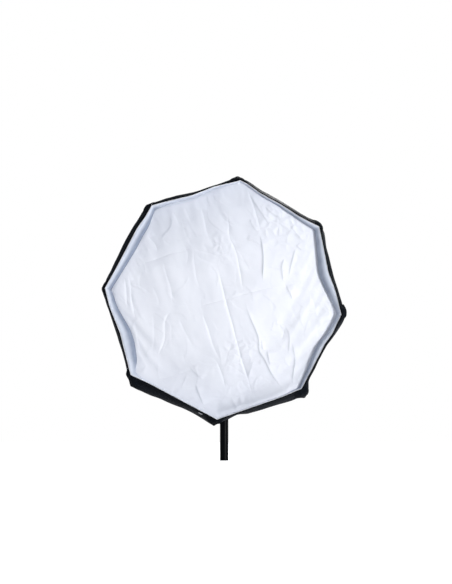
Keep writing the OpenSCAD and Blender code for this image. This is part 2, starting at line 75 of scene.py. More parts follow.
def place(radius, angle, forward):
    """Points on the box as an array of XYZ, from radii, angles in degrees and forward distances."""
    radius, angle, forward = np.broadcast_arrays(radius, np.radians(angle), forward)
    return np.stack([radius * np.cos(angle), -forward, radius * np.sin(angle)], -1)


def unit(vectors):
    """Vectors scaled to a length of 1."""
    return vectors / (np.linalg.norm(vectors, axis=-1, keepdims=True) + 1e-12)


def bearing(points):
    """The angle round the box of each point, in degrees."""
    return np.degrees(np.arctan2(points[..., 2], points[..., 0]))


def radial(points):
    """Unit vectors from the box's axis towards each point."""
    return unit(points * np.array([1, 0, 1]))


def smooth(low, high, value):
    """0 below low, 1 above high and an S-shaped rise between."""
    t = np.clip((np.asarray(value, float) - low) / (high - low), 0, 1)
    return t * t * (3 - 2 * t)


def round_interp(angle, knots):
    """Smooth values round the box from (angle, value) knots."""
    turned = sorted((a % 360, v) for a, v in knots)
    a = np.array([k[0] for k in turned])
    v = np.array([k[1] for k in turned])
    fine = np.interp((np.arange(0, 360, 0.5)), a, v, period=360)
    kernel = np.hanning(9) / np.hanning(9).sum()
    fine = np.convolve(np.concatenate([fine[-8:], fine, fine[:8]]), kernel, "same")[8:-8]
    return np.interp(np.asarray(angle) % 360, np.arange(0, 360, 0.5), fine, period=360)


def noise_at(points, size, seed, octaves=1):
    """Smooth noise from -1 to 1 at each point; size is the length of its features."""
    flat = np.asarray(points, float).reshape(-1, 3) / size + seed * 17.3
    total = np.zeros(len(flat))
    for o in range(octaves):
        total += np.array([noise.noise(p * 2 ** o) for p in map(Vector, flat)]) / 2 ** o
    return total.reshape(np.asarray(points).shape[:-1])


def crumple(points, size, seed):
    """Sharp-crested noise from 0 to 1, like cloth that has been folded small."""
    flat = np.asarray(points, float).reshape(-1, 3) / size + seed * 11.7
    gaps = [noise.voronoi(p)[0] for p in map(Vector, flat)]
    value = np.array([1 - min(1, 2.2 * (d[1] - d[0])) for d in gaps])
    return value.reshape(np.asarray(points).shape[:-1])


# ---------- sizes read from the frame ----------

def corner_radius(node):
    """The radius of an octagonal CAD node's corners."""
    low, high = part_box(node)
    return (high.x - low.x) / 2 / math.cos(math.radians(ROLL))


RIM_R = corner_radius("front_lip")
RIM_FWD = -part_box("front_lip")[0].y
DIFFUSER_FWD = -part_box("front_diffuser")[0].y
FLOOR_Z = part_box("riser_tube")[0].z


# ---------- the rods' line, which the cover follows ----------

BOW_START = ROOT + ROOT_LEN * np.array([math.sin(SPLAY), math.cos(SPLAY)])
BOW_CENTRE = BOW_START + BOW_R * np.array([-math.cos(SPLAY), math.sin(SPLAY)])
BOW_LEN = BOW_R * (SPLAY + TOE_IN)
LINE_LEN = ROOT_LEN - COVER_FROM + BOW_LEN + TIP_LEN + RIM_OVERHANG


def rod_line(length, off):
    """(radius, forward) at a distance outside the rods and a length along the cover from its rear."""
    length = np.asarray(length, float) + COVER_FROM
    turn = np.clip((length - ROOT_LEN) / BOW_R, 0, SPLAY + TOE_IN)
    slope = SPLAY - turn
    before = np.minimum(length - ROOT_LEN, 0)
    after = np.maximum(length - ROOT_LEN - BOW_LEN, 0)
    radius = BOW_CENTRE[0] + (BOW_R + off) * np.cos(slope) + (before + after) * np.sin(slope)
    forward = BOW_CENTRE[1] - (BOW_R + off) * np.sin(slope) + (before + after) * np.cos(slope)
    return radius, forward


# ---------- meshes ----------

def lay_uvs(mesh, uvs):
    """Gives a mesh a UV map from one pair per vertex."""
    layer = mesh.uv_layers.new(name="cloth")
    index = np.zeros(len(mesh.loops), np.int32)
    mesh.loops.foreach_get("vertex_index", index)
    layer.data.foreach_set("uv", np.asarray(uvs, np.float32)[index].ravel())


def thicken(obj, thickness, offset=-1):
    """Makes a sheet solid; an offset of -1 adds the thickness behind it."""
    solid = obj.modifiers.new("thickness", "SOLIDIFY")
    solid.thickness = thickness
    solid.offset = offset


def make_mesh(name, verts, faces, uvs=None):
    """A smooth-shaded object from vertices, faces and one UV pair per vertex."""
    mesh = bpy.data.meshes.new(name)
    mesh.from_pydata([tuple(v) for v in verts], [], [tuple(f) for f in faces])
    if uvs is not None:
        lay_uvs(mesh, uvs)
    mesh.validate()
    mesh.shade_smooth()
    obj = bpy.data.objects.new(name, mesh)
    bpy.context.scene.collection.objects.link(obj)
    return obj


def grid_faces(rows, cols, wrap):
    """Quads over a grid of vertices that is numbered row by row."""
    last = cols if wrap else cols - 1
    return [(r * cols + c, r * cols + (c + 1) % cols, (r + 1) * cols + (c + 1) % cols, (r + 1) * cols + c)
            for r in range(rows - 1) for c in range(last)]


def sheet(name, points, thickness, wrap=True, flip=False):
    """A closed cloth shell from a grid of points, its other face on the inner side."""
    rows, cols = points.shape[:2]
    along = np.linalg.norm(np.diff(points, axis=0), axis=2).mean(1)
    v = np.concatenate([[0], np.cumsum(along)])
    around = np.linalg.norm(points - np.roll(points, 1, 1), axis=2).mean(0).cumsum()
    uvs = np.stack(np.broadcast_arrays(around[None, :], v[:, None]), -1).reshape(-1, 2)
    faces = grid_faces(rows, cols, wrap)
    if flip:
        faces = [f[::-1] for f in faces]
    obj = make_mesh(name, points.reshape(-1, 3), faces, uvs)
    thicken(obj, thickness)
    return obj


def tube(name, points, radius, segments):
    """A round cord along a closed line of points; its profile stays square to the line."""
    ahead = unit(np.roll(points, -1, 0) - np.roll(points, 1, 0))
    side = unit(np.cross(ahead, np.array([0, 1.0, 0])))
    up = np.cross(side, ahead)
    turn = np.linspace(0, 2 * math.pi, segments, endpoint=False)
    ring = (points[:, None] + np.cos(turn)[None, :, None] * side[:, None] * radius
            + np.sin(turn)[None, :, None] * up[:, None] * radius)
    count = len(points)
    faces = []
    for i in range(count):
        for k in range(segments):
            a, b = i * segments, (i + 1) % count * segments
            faces.append((a + k, b + k, b + (k + 1) % segments, a + (k + 1) % segments))
    return make_mesh(name, ring.reshape(-1, 3), faces)


def finish_piece(obj, material, slot, *nodes, body="softbox"):
    """Gives a new piece its material and its body, and hides the CAD nodes that it stands for."""
    obj.data.materials.clear()
    obj.data.materials.append(material)
    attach(obj, body)
    if nodes:
        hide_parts(*nodes)


def apply_modifiers(obj):
    """Replaces an object's mesh with its evaluated one."""
    mesh = bpy.data.meshes.new_from_object(obj.evaluated_get(bpy.context.evaluated_depsgraph_get()))
    obj.modifiers.clear()
    obj.data = mesh


def vertex_array(obj):
    """The places of an object's vertices, one row each."""
    co = np.zeros(len(obj.data.vertices) * 3, np.float32)
    obj.data.vertices.foreach_get("co", co)
    return co.reshape(-1, 3).astype(float)


def set_vertices(obj, co):
    """Moves an object's vertices to new places."""
    obj.data.vertices.foreach_set("co", np.asarray(co, np.float32).ravel())
    obj.data.update()


# ---------- materials ----------

WAVE_LENGTH = math.pi / 10      # how far apart the bands of Blender's wave texture are at a scale of 1


class Finish:
    """A procedural material: each method adds nodes and returns a socket."""

    def __init__(self, name):
        self.material = bpy.data.materials.new(name)
        self.material.use_nodes = True
        self.nodes = self.material.node_tree.nodes
        self.links = self.material.node_tree.links
        self.shader = self.nodes["Principled BSDF"]
        self.coords = self.nodes.new("ShaderNodeTexCoord")

    def feed(self, socket, value):
        """Links a socket to an input, or sets the input to a value or a colour."""
        if isinstance(value, bpy.types.NodeSocket):
            self.links.new(value, socket)
        elif isinstance(value, (tuple, list)) and len(value) == 3 and socket.type == "RGBA":
            socket.default_value = (*value, 1)
        else:
            socket.default_value = value

    def node(self, kind, out=0, settings=None, **inputs):
        """Adds a node; i0, i1 and so on are its inputs by number, other names by name."""
        made = self.nodes.new(kind)
        for key, value in (settings or {}).items():
            setattr(made, key, value)
        for key, value in inputs.items():
            by_number = key[0] == "i" and key[1:].isdigit()
            self.feed(made.inputs[int(key[1:]) if by_number else key], value)
        return made.outputs[out]

    def where(self, kind, scale=(1, 1, 1)):
        """Texture coordinates: UV or Object, in metres, times a scale."""
        return self.node("ShaderNodeMapping", Vector=self.coords.outputs[kind], Scale=scale)

    def maths(self, operation, a, b=0.0, c=0.0):
        """One step of arithmetic on up to three values."""
        return self.node("ShaderNodeMath", settings={"operation": operation}, i0=a, i1=b, i2=c)

    def grain(self, size, detail=3.0, scale=(1, 1, 1)):
        """Noise with features of a size in metres, divided along each axis by scale."""
        at = self.where("Object", scale)
        return self.node("ShaderNodeTexNoise", Vector=at, Scale=1 / size, Detail=detail)

    def bands(self, spacing, kind="UV", direction="X", profile="SIN"):
        """Bands a spacing in metres apart, from 0 between them to 1 on top of one."""
        settings = {"wave_type": "BANDS", "bands_direction": direction, "wave_profile": profile}
        at = self.where(kind)
        return self.node("ShaderNodeTexWave", 1, settings, Vector=at, Scale=WAVE_LENGTH / spacing)

    def weave(self, thread):
        """Plain weave with its threads a spacing in metres apart: 0 between them, 1 on top of one."""
        return self.maths("MULTIPLY", self.bands(thread), self.bands(thread, direction="Y"))

    def blend(self, share, a, b):
        """Colour a where share is 0 and b where it is 1."""
        return self.node("ShaderNodeMix", 2, {"data_type": "RGBA"}, i0=share, i6=a, i7=b)

    def ramp(self, value, low, high, first=0.0, last=1.0):
        """Stretches a value so that low gives first and high gives last."""
        return self.node("ShaderNodeMapRange", Value=value, i1=low, i2=high, i3=first, i4=last)

    def mottle(self, pattern, a, b):
        """Colours a and b in soft patches that follow a noise pattern."""
        return self.blend(self.ramp(pattern, 0.3, 0.7), a, b)

    def relief(self, height, depth, over=None):
        """A bump of a depth in metres."""
        inputs = {"Height": height, "Distance": depth, "Strength": 1.0}
        if over is not None:
            inputs["Normal"] = over
        return self.node("ShaderNodeBump", **inputs)

    def rounded_edge(self, radius=0.0006):
        """A normal that rounds sharp edges off."""
        return self.node("ShaderNodeBevel", settings={"samples": 4}, Radius=radius)

    def edge(self):
        """1 along sharp edges and 0 away from them."""
        true_normal = self.node("ShaderNodeNewGeometry", "Normal")
        together = self.node("ShaderNodeVectorMath", "Value", {"operation": "DOT_PRODUCT"},
                             i0=self.rounded_edge(0.0010), i1=true_normal)
        return self.ramp(together, 0.985, 0.85)

    def surface(self, **inputs):
        """Sets the shader's inputs by name and returns the material."""
        for key, value in inputs.items():
            self.feed(self.shader.inputs[key.replace("_", " ")], value)
        return self.material


def cloth(name, colour, shade, thread, roughness=0.8, sheen=0.25, gloss=0.3):
    """Woven cloth: thread relief, soft unevenness in its surface and tone, and painted shade that darkens the
    gaps between its threads.
    """
    f = Finish(name)
    weave = f.weave(thread)
    uneven = f.grain(0.05, 4)
    # painted shade: the gaps between the threads are darkened
    between = f.maths("MULTIPLY", f.maths("SUBTRACT", 1.0, weave), 0.18)
    tone = f.blend(between, f.mottle(uneven, shade, colour), tuple(0.55 * c for c in shade))
    return f.surface(Base_Color=tone, Roughness=f.ramp(uneven, 0.0, 1.0, roughness - 0.08, roughness + 0.08),
                     Normal=f.relief(weave, 0.00012, f.relief(f.grain(0.012, 5), 0.0004)),
                     Sheen_Weight=sheen, Sheen_Roughness=0.5, Specular_IOR_Level=gloss)


def diffuser_cloth_look(name, colour, shade):
    """Fine white cloth with painted shade: a little darker towards its top, its upper left and its bottom."""
    f = Finish(name)
    weave = f.weave(0.00044)
    tone = f.mottle(f.grain(0.05, 5, (1, 1, 0.35)), shade, colour)
    # painted shade: the colour blends towards a blue-grey shade colour at the upper left, the top and the
    # bottom
    across, height = (f.node("ShaderNodeSeparateXYZ", k, Vector=f.coords.outputs["Object"]) for k in (0, 2))
    towards_left = f.maths("MULTIPLY_ADD", across, -0.36, height)
    shade_upper_left = f.maths("POWER", f.ramp(towards_left, 0.09, 0.40), 1.3)
    lower = f.maths("POWER", f.ramp(height, -0.10, -0.38), 1.6)
    top = f.ramp(height, 0.08, 0.38)
    shade_top_and_bottom = f.maths("MULTIPLY_ADD", lower, 0.36, f.maths("MULTIPLY", top, 0.20))
    tone = f.blend(f.maths("MULTIPLY_ADD", shade_upper_left, 0.20, shade_top_and_bottom), tone, (0.42, 0.46, 0.56))
    return f.surface(Base_Color=tone, Roughness=0.75, Sheen_Weight=0.1, Specular_IOR_Level=0.25,
                     Normal=f.relief(weave, 0.00006, f.relief(f.grain(0.010, 5), 0.0002)))


def lip_cloth_look(name, light, foot_shade):
    """Woven cloth with painted shade: darker towards its foot, where it is folded in towards the diffuser."""
    f = Finish(name)
    # painted shade: the folded attribute darkens the lip towards its foot, in the recess beside the diffuser
    folded = f.node("ShaderNodeAttribute", 2, {"attribute_name": "folded"})
    uneven = f.grain(0.03, 4)
    patchy = f.maths("MULTIPLY", f.maths("SUBTRACT", uneven, 0.5), 0.5)
    tone = f.blend(f.maths("ADD", folded, patchy), light, foot_shade)
    weave = f.weave(0.0005)
    return f.surface(Base_Color=tone, Roughness=0.85, Specular_IOR_Level=0.2,
                     Normal=f.relief(weave, 0.00012, f.relief(f.grain(0.012, 5), 0.0005)))


def webbing(name, colour, rib=0.00075):
    """Tape with ribs across it, a spacing apart in metres, an uneven tone, and a painted highlight that makes
    the ribs' crests paler.
    """
    f = Finish(name)
    ribs = f.bands(rib)
    tone = f.mottle(f.grain(0.02, 4), tuple(0.6 * c for c in colour), colour)
    # painted highlight: the ribs' crests are lighter than the tape
    tone = f.blend(f.maths("MULTIPLY", ribs, 0.35), tone, tuple(1.6 * c + 0.001 for c in colour))
    return f.surface(Base_Color=tone, Roughness=0.85, Normal=f.relief(ribs, 0.0002), Sheen_Weight=0.02,
                     Specular_IOR_Level=0.06)


def silver(name):
    """Pebbled metallised lining."""
    f = Finish(name)
    pebbles = f.node("ShaderNodeTexVoronoi", 0, {"feature": "SMOOTH_F1"}, Vector=f.where("Object"),
                     Scale=330.0)
    uneven = f.grain(0.04, 4)
    tone = f.mottle(uneven, (0.55, 0.56, 0.58), (0.78, 0.79, 0.81))
    rough = f.ramp(f.maths("MULTIPLY", uneven, 0.9), -0.1, 1.2)
    return f.surface(Base_Color=tone, Metallic=0.75, Roughness=rough,
                     Normal=f.relief(pebbles, 0.0006, f.relief(f.grain(0.02, 3), 0.0008)))


def painted(name, colour, roughness=0.45, metallic=0.0, peel=0.0008, wear=(0.30, 0.30, 0.31), dusty=0.35,
            gloss=0.4):
    """Coated or moulded part: fine texture, faint dust in its tone and paler worn edges."""
    f = Finish(name)
    fine = f.grain(peel, 2)
    dust = f.ramp(f.grain(0.03, 6), 0.35, 0.75)
    tone = f.blend(f.maths("MULTIPLY", dust, dusty), colour, tuple(1.5 * c + 0.006 for c in colour))
    if wear:
        worn = f.maths("MULTIPLY", f.edge(), f.ramp(f.grain(0.006, 5), 0.40, 0.65))
        tone = f.blend(f.maths("MULTIPLY", worn, 0.5), tone, wear)
    rough = f.ramp(f.grain(0.015, 5), 0.25, 0.75, roughness - 0.06, roughness + 0.08)
    return f.surface(Base_Color=tone, Metallic=metallic, Roughness=rough, Specular_IOR_Level=gloss,
                     Normal=f.relief(fine, 0.00006, f.rounded_edge()))


def bare_metal(name, colour, roughness, scale, size=0.02):
    """Bare metal with smudges and fine grain, which a scale that is high along one axis makes into lines."""
    f = Finish(name)
    lines = f.grain(size, 6, scale)
    tone = f.mottle(lines, tuple(0.78 * c for c in colour), colour)
    rough = f.ramp(f.grain(0.02, 5), 0.3, 0.7, roughness - 0.08, roughness + 0.14)
    return f.surface(Base_Color=tone, Metallic=1.0, Roughness=rough,
                     Normal=f.relief(lines, 0.00003, f.rounded_edge()))


def threaded(name, colour, spacing):
    """Rolled thread along X, drawn as relief, with painted shade that darkens its grooves."""
    f = Finish(name)
    thread = f.bands(spacing, "Object", profile="TRI")
    # painted shade: the thread's grooves are darkened
    tone = f.blend(thread, tuple(0.35 * c for c in colour), colour)
    return f.surface(Base_Color=tone, Metallic=1.0, Roughness=0.32, Normal=f.relief(thread, 0.0005))


def rubber(name):
    """Matt rubber with dust on it."""
    f = Finish(name)
    dust = f.ramp(f.grain(0.01, 6), 0.4, 0.8)
    tone = f.blend(dust, (0.018, 0.018, 0.018), (0.06, 0.058, 0.055))
    return f.surface(Base_Color=tone, Roughness=0.88, Normal=f.relief(f.grain(0.0009, 3), 0.00015),
                     Specular_IOR_Level=0.3)


# ---------- how this box hangs and creases ----------

# Clockwise from the top corner: how far each corner of the rim is turned from its rod's tip (degrees), and
# how far it stands outside it (metres)
CORNER_TURN = np.array([-1.2, -1.3, -1.9, 0.6, 1.2, -1.0, 0.2, -1.2])
CORNER_OUT = np.array([7, 1, -10, -9, 3, 6, 3, 5]) / 1000

# Where the rim's edge bends off the straight line between its corners: (angle, metres outwards)
RIM_BENDS = [(5, 0), (15, -0.008), (24, -0.005), (38, -0.001), (48, -0.005), (60, -0.001), (72, -0.003),
             (80, 0.003), (84, 0), (96, 0.004), (108, -0.004), (122, 0), (134, 0), (141, 0.006), (165, 0.003),
             (184, 0.006), (198, -0.004), (219, 0), (228, -0.003), (265, -0.001), (300, 0.003), (309, 0),
             (336, -0.002), (342, 0.004), (353, 0)]

# The cover's cloth just behind the rim: (angle, metres it hangs down) and (angle, metres it stands outwards)
HANG_DOWN = [(213, 0), (217, 0.018), (222, 0.022), (230, 0.016), (240, 0.007), (252, 0), (258, 0),
             (264, 0.006), (269, 0)]
BULGE = [(0, -0.0065), (12, -0.009), (20, -0.004), (28, -0.001), (35, 0.007), (41, 0.002), (54, 0.006),
         (72, 0.010), (79, 0.017), (92, 0.010), (106, 0.005), (120, 0.014), (128, 0.009), (142, 0.0155),
         (152, 0.016), (164, 0.012), (180, 0.0045), (205, 0.001), (270, 0), (276, -0.0065), (281, 0.001),
         (296, 0.002), (307, 0), (312, 0.009), (316, -0.010), (328, -0.013), (336, -0.011), (349, 0),
         (353, -0.001), (356, -0.008)]

# The lip at angles round the box: (angle, metres it leads inwards, metres it goes back, how dark the painted
# shade at its foot is)
LIP = [
    (84, 0.003, 0.010, 0), (62, 0.004, 0.016, 0.7), (50, 0.006, 0.020, 0.7), (39, 0.012, 0.026, 0.5),
    (28, 0.020, 0.029, 0.6), (17, 0.027, 0.029, 0.7), (6, 0.025, 0.029, 0.7), (-5, 0.009, 0.026, 0.3),
    (-28, 0.018, 0.026, 0.7), (-50, 0.006, 0.018, 0.7), (-58, 0.002, 0.006, 0), (-95, 0.002, 0.003, 0),
    (-118, 0.002, 0.004, 0), (-138, 0.005, 0.014, 0), (-146, 0.032, 0.027, 1), (-155, 0.037, 0.029, 1),
    (-165, 0.032, 0.029, 1), (-176, 0.023, 0.029, 1), (174, 0.017, 0.029, 1), (163, 0.020, 0.029, 1),
    (150, 0.025, 0.029, 1), (138, 0.025, 0.027, 1), (129, 0.014, 0.025, 1), (121, 0.005, 0.024, 0),
    (100, 0.004, 0.024, 0), (92, 0.003, 0.016, 0)]

# Creases in the diffuser, each a relative depth and the points it runs through from its upper end, as
# shares of the rim's corner radius. A groove has two steep flanks, and a fold has a steep and a wide one: a
# left fold's wide flank is on the right of its line, and so is a right fold's, which also stands forward.
GROOVES = [
    (1.7, [(-0.01, 0.78), (0.03, 0.66), (0.02, 0.54), (0.08, 0.44), (0.11, 0.28), (0.15, 0.04)]),
    (2.2, [(-0.08, 0.31), (-0.05, 0.20), (-0.01, 0.02), (0.05, -0.20), (0.11, -0.42), (0.18, -0.65),
           (0.24, -0.85)]),
    (1.2, [(-0.79, 0.29), (-0.60, 0.35), (-0.42, 0.41), (-0.28, 0.44)]),
    (1.5, [(-0.08, -0.52), (-0.03, -0.62), (0.0, -0.75)]),
    (1.2, [(-0.28, -0.06), (-0.10, -0.02), (0.15, 0.05), (0.38, 0.11), (0.49, 0.12)]),
    (1.6, [(0.18, 0.95), (0.24, 0.80), (0.28, 0.65), (0.29, 0.58)]),
    (1.0, [(-0.12, 0.50), (-0.02, 0.45), (-0.06, 0.38), (-0.12, 0.36)]),
    (1.0, [(-0.28, 0.43), (-0.15, 0.40), (-0.05, 0.36)]),
    (1.0, [(0.0, -0.53), (0.08, -0.58), (0.17, -0.64)]),
    (0.9, [(0.06, -0.44), (0.12, -0.49), (0.17, -0.52)]),
    (0.8, [(-0.55, -0.67), (-0.40, -0.62), (-0.25, -0.57)]),
    (0.9, [(0.50, -0.22), (0.47, -0.33)]),
]
LEFT_FOLDS = [
    (1.6, [(-0.20, -0.10), (-0.15, -0.25), (-0.10, -0.42), (-0.04, -0.52)]),
    (1.6, [(-0.45, -0.08), (-0.52, -0.15), (-0.51, -0.30), (-0.55, -0.42), (-0.57, -0.48)]),
    (1.8, [(-0.86, 0.20), (-0.84, 0.08), (-0.83, -0.08)]),
    (1.8, [(-0.83, 0.22), (-0.80, 0.10), (-0.79, -0.05), (-0.76, -0.18)]),
    (1.0, [(-0.28, 0.44), (-0.27, 0.30), (-0.25, 0.18), (-0.22, 0.10)]),
    (1.0, [(-0.54, 0.35), (-0.50, 0.20), (-0.46, 0.10), (-0.45, -0.05)]),
    (1.3, [(-0.67, 0.55), (-0.60, 0.48), (-0.58, 0.41)]),
    (0.5, [(-0.80, 0.15), (-0.68, 0.09), (-0.62, 0.04)]),
    (0.7, [(-0.62, 0.12), (-0.57, 0.0), (-0.56, -0.07)]),
    (0.9, [(-0.21, 0.80), (-0.18, 0.65), (-0.14, 0.50)]),
    (0.7, [(-0.38, 0.70), (-0.34, 0.55), (-0.28, 0.45)]),
    (0.9, [(-0.46, -0.20), (-0.46, -0.35)]),
    (0.8, [(-0.40, -0.15), (-0.33, -0.30), (-0.27, -0.40)]),
    (0.7, [(-0.62, -0.10), (-0.60, -0.30), (-0.62, -0.45)]),
    (0.7, [(-0.77, -0.15), (-0.75, -0.30), (-0.72, -0.42)]),
    (1.0, [(0.05, -0.33), (0.02, -0.45), (-0.02, -0.55)]),
    (1.2, [(0.50, 0.76), (0.54, 0.70)]),
]
RIGHT_FOLDS = [
    (2.0, [(0.16, 0.0), (0.19, -0.12), (0.25, -0.25), (0.28, -0.33), (0.27, -0.42), (0.33, -0.50),
           (0.37, -0.60), (0.43, -0.69), (0.50, -0.77)]),
    (1.4, [(0.20, 0.90), (0.28, 0.78), (0.38, 0.63)]),
    (2.2, [(0.29, 0.57), (0.31, 0.45), (0.32, 0.30), (0.31, 0.15)]),
    (1.6, [(0.50, 0.36), (0.47, 0.28), (0.49, 0.15)]),
    (1.8, [(0.60, 0.45), (0.56, 0.32), (0.53, 0.20)]),
    (1.6, [(0.51, 0.13), (0.54, 0.07), (0.57, 0.0)]),
    (1.5, [(0.33, 0.80), (0.40, 0.73), (0.47, 0.70)]),
    (1.4, [(0.54, 0.64), (0.60, 0.57), (0.66, 0.50)]),
    (1.2, [(0.60, 0.47), (0.65, 0.42)]),
    (1.2, [(0.20, 0.70), (0.22, 0.64), (0.27, 0.58)]),
    (1.2, [(0.17, 0.52), (0.25, 0.50), (0.30, 0.47)]),
    (1.3, [(0.30, -0.33), (0.31, -0.42)]),
    (1.8, [(0.35, -0.42), (0.37, -0.55)]),
    (1.4, [(0.50, -0.21), (0.54, -0.30), (0.53, -0.45)]),
    (1.6, [(0.56, -0.35), (0.59, -0.50), (0.55, -0.72)]),
    (1.2, [(0.24, -0.50), (0.20, -0.60), (0.18, -0.66)]),
    (1.1, [(-0.31, -0.56), (-0.25, -0.62), (-0.19, -0.67)]),
    (1.8, [(-0.26, -0.70), (-0.22, -0.80), (-0.18, -0.90)]),
    (0.7, [(-0.16, 0.78), (-0.15, 0.68), (-0.08, 0.62), (0.0, 0.56)]),
    (0.8, [(-0.47, 0.72), (-0.45, 0.63), (-0.55, 0.52)]),
]
CREASE_W = 0.0028               # how far a steep flank reaches from its crease
CREASE_H = 0.0015               # the height of a crease with a relative depth of 1

# Crumpled patches: (across, up, reach) as shares of the rim's corner radius, and their height in metres
CRUMPLES = [(0.12, -0.45, 0.14, 0.0028), (-0.06, 0.44, 0.12, 0.0028), (0.50, 0.66, 0.20, 0.0034),
            (0.86, -0.12, 0.10, 0.0030), (0.10, -0.90, 0.14, 0.0030)]

# Broad swells of the diffuser: (across, up, reach) as shares of the rim's corner radius, and metres forward
SWELLS = [(-0.16, 0.60, 0.28, 0.010), (0.10, 0.10, 0.45, 0.003), (-0.14, -0.66, 0.24, 0.004)]


# ---------- grids that follow the rods and the rim ----------

def gore_shares(columns, crowding=0.85):
    """Shares across one gore, from one seam up to the next, closer together beside the seams."""
    t = np.arange(columns) / columns
    return t - crowding * np.sin(2 * math.pi * t) / (2 * math.pi)


def corner_points(radius, forward, slack=0.0):
    """One point per corner, clockwise from the top; slack of 1 gives the rim's own corners."""
    return place(radius + slack * CORNER_OUT, np.array(CORNERS) + slack * CORNER_TURN, forward)


def round_box(corners, shares):
    """Points along the straight sides between eight corner points."""
    ahead = np.roll(corners, -1, 0)
    return (corners[:, None] + (ahead - corners)[:, None] * shares[None, :, None]).reshape(-1, 3)


def rim_ring(radius, forward, slack, shares):
    """Points round the box at a radius and a forward distance, with the rim's bends times slack."""
    points = round_box(corner_points(radius, forward, slack), shares)
    return bent(points, slack)


def bent(points, slack):
    """Moves points outwards by the rim's bends, times slack."""
    return points + radial(points) * (slack * round_interp(bearing(points), RIM_BENDS))[..., None]


def hung(points, lengths):
    """Moves points of the cover down and outwards where its cloth hangs loose behind the rim."""
    behind = LINE_LEN - np.asarray(lengths)
    share = smooth(0.002, 0.05, behind) * (1 - smooth(0.10, 0.30, behind))
    angle = bearing(points)
    moved = points + radial(points) * (share * round_interp(angle, BULGE))[..., None]
    moved[..., 2] -= share * round_interp(angle, HANG_DOWN)
    return moved


def cover_grid(off, lengths, shares):
    """The cover's flat gores at a distance outside the rods: rows along it and columns round it."""
    rows = []
    for length in lengths:
        radius, forward = rod_line(length, off)
        rows.append(rim_ring(radius, forward, rim_slack(length), shares))
    return np.array(rows)


def rim_slack(length):
    """How much of the rim's corner shift holds at a length along the cover: none behind the rods' tips."""
    return float(smooth(LINE_LEN - RIM_OVERHANG - TIP_LEN, LINE_LEN, length))


def outward(points):
    """Unit normals of a wrapped grid, facing away from the box's axis at its last row."""
    around = np.roll(points, -1, 1) - np.roll(points, 1, 1)
    along = np.gradient(points, axis=0)
    normal = unit(np.cross(around, along))
    if (normal[-1] * points[-1] * np.array([1, 0, 1])).sum() < 0:
        normal = -normal
    return normal


def stitches(name, paths, pitch=0.0036, length=0.0026, radius=0.00042):
    """Raised thread stitches: each path is its points, their surface normals and whether it closes."""
    verts, faces = [], []
    ring = [(math.cos(a), math.sin(a)) for a in (math.pi / 4 + math.pi / 2 * k for k in range(4))]
    for points, normals, closed in paths:
        points = np.asarray(points)
        normals = np.asarray(normals)
        if closed:
            points = np.vstack([points, points[:1]])
            normals = np.vstack([normals, normals[:1]])
        run = np.concatenate([[0], np.cumsum(np.linalg.norm(np.diff(points, axis=0), axis=1))])
        count = int(run[-1] / pitch)
        for middle in (np.arange(count) + 0.5) * run[-1] / count:
            at = np.array([[np.interp(middle + d, run, points[:, k]) for k in range(3)]
                           for d in (-length / 2, 0, length / 2)])
            up = unit(np.array([np.interp(middle, run, normals[:, k]) for k in range(3)]))
            ahead = unit(at[2] - at[0])
            side = np.cross(ahead, up)
            base = len(verts)
            verts.append(at[0] - up * radius)
            for share in (-0.32, 0.32):
                centre = at[1] + ahead * share * length + up * radius * 0.45
                verts += [centre + radius * (c * side + s * up) for c, s in ring]
            verts.append(at[2] - up * radius)
            for k in range(4):
                n = (k + 1) % 4
                faces += [(base, base + 1 + n, base + 1 + k),
                          (base + 1 + k, base + 1 + n, base + 5 + n, base + 5 + k),
                          (base + 5 + k, base + 5 + n, base + 9)]
    return make_mesh(name, verts, faces)


# ---------- cloth over the rods ----------

COVER_OFF, LINING_OFF = 0.006, 0.0046     # how far outside the rods' line they lie
GORE_HOLLOW = 0.010             # how far the middle of a gore lies inside the straight line between its rods
SEAM_STITCH = 0.0034            # how far the rows of stitches lie beside a seam
LINING_GAP = 0.0010             # how far the cover may sink before it meets the lining


def gore_hollow(lengths, shares):
    """How far each point of a grid lies inside its flat gore, as numbers at or below 0."""
    length = np.asarray(lengths)[:, None]
    share = np.tile(shares, SIDES)[None, :]
    return -GORE_HOLLOW * 4 * share * (1 - share) * smooth(0.01, 0.20, length) * (
        1 - smooth(LINE_LEN - 0.24, LINE_LEN - 0.11, length))


def seam_distance(points, shares):
    """How far each point of a grid is from the nearest seam."""
    share = np.tile(shares, SIDES)[None, :]
    chord = np.linalg.norm(points[:, 1] - points[:, 0], axis=1)[:, None] / (shares[1] - shares[0])
    return np.minimum(share, 1 - share) * chord


def cover_relief(points, lengths, shares):
    """How far the cover stands off its flat gores: hollow gores, seams, puckers, gathers and folds."""
    length = np.asarray(lengths)[:, None]
    seam = seam_distance(points, shares)
    hollow = gore_hollow(lengths, shares)
    felled = 0.0012 * np.exp(-(seam / 0.0045) ** 4)
    puckers = 0.0010 * noise_at(points, 0.016, 3) * np.exp(-seam / 0.022)
    angle = bearing(points)
    gathers = 0.0018 * np.cos(np.radians(48 * angle)) * np.exp(-length / 0.030)
    lengthwise = points * np.array([1, 0.45, 1])
    slack = 0.0022 * noise_at(points, 0.09, 5, 2) + 0.0012 * noise_at(lengthwise, 0.04, 9)
    from_tip = np.hypot(seam, length - (LINE_LEN - RIM_OVERHANG))
    fan = np.arctan2(seam, LINE_LEN - RIM_OVERHANG - length + 0.004)
    folds = 0.0024 * np.cos(9 * fan + 2 * noise_at(points, 0.05, 7))
    folds = folds * np.exp(-from_tip / 0.055) * smooth(0.008, 0.03, from_tip)
    held = smooth(0, 0.02, LINE_LEN - length)
    loose = (slack + folds) * smooth(0.0, 0.02, seam) * (0.3 + 0.7 * held) + puckers
    loose = np.where(loose < 0, -LINING_GAP * np.tanh(-loose / LINING_GAP), loose)
    return hollow * (0.3 + 0.7 * held) + loose + felled + gathers


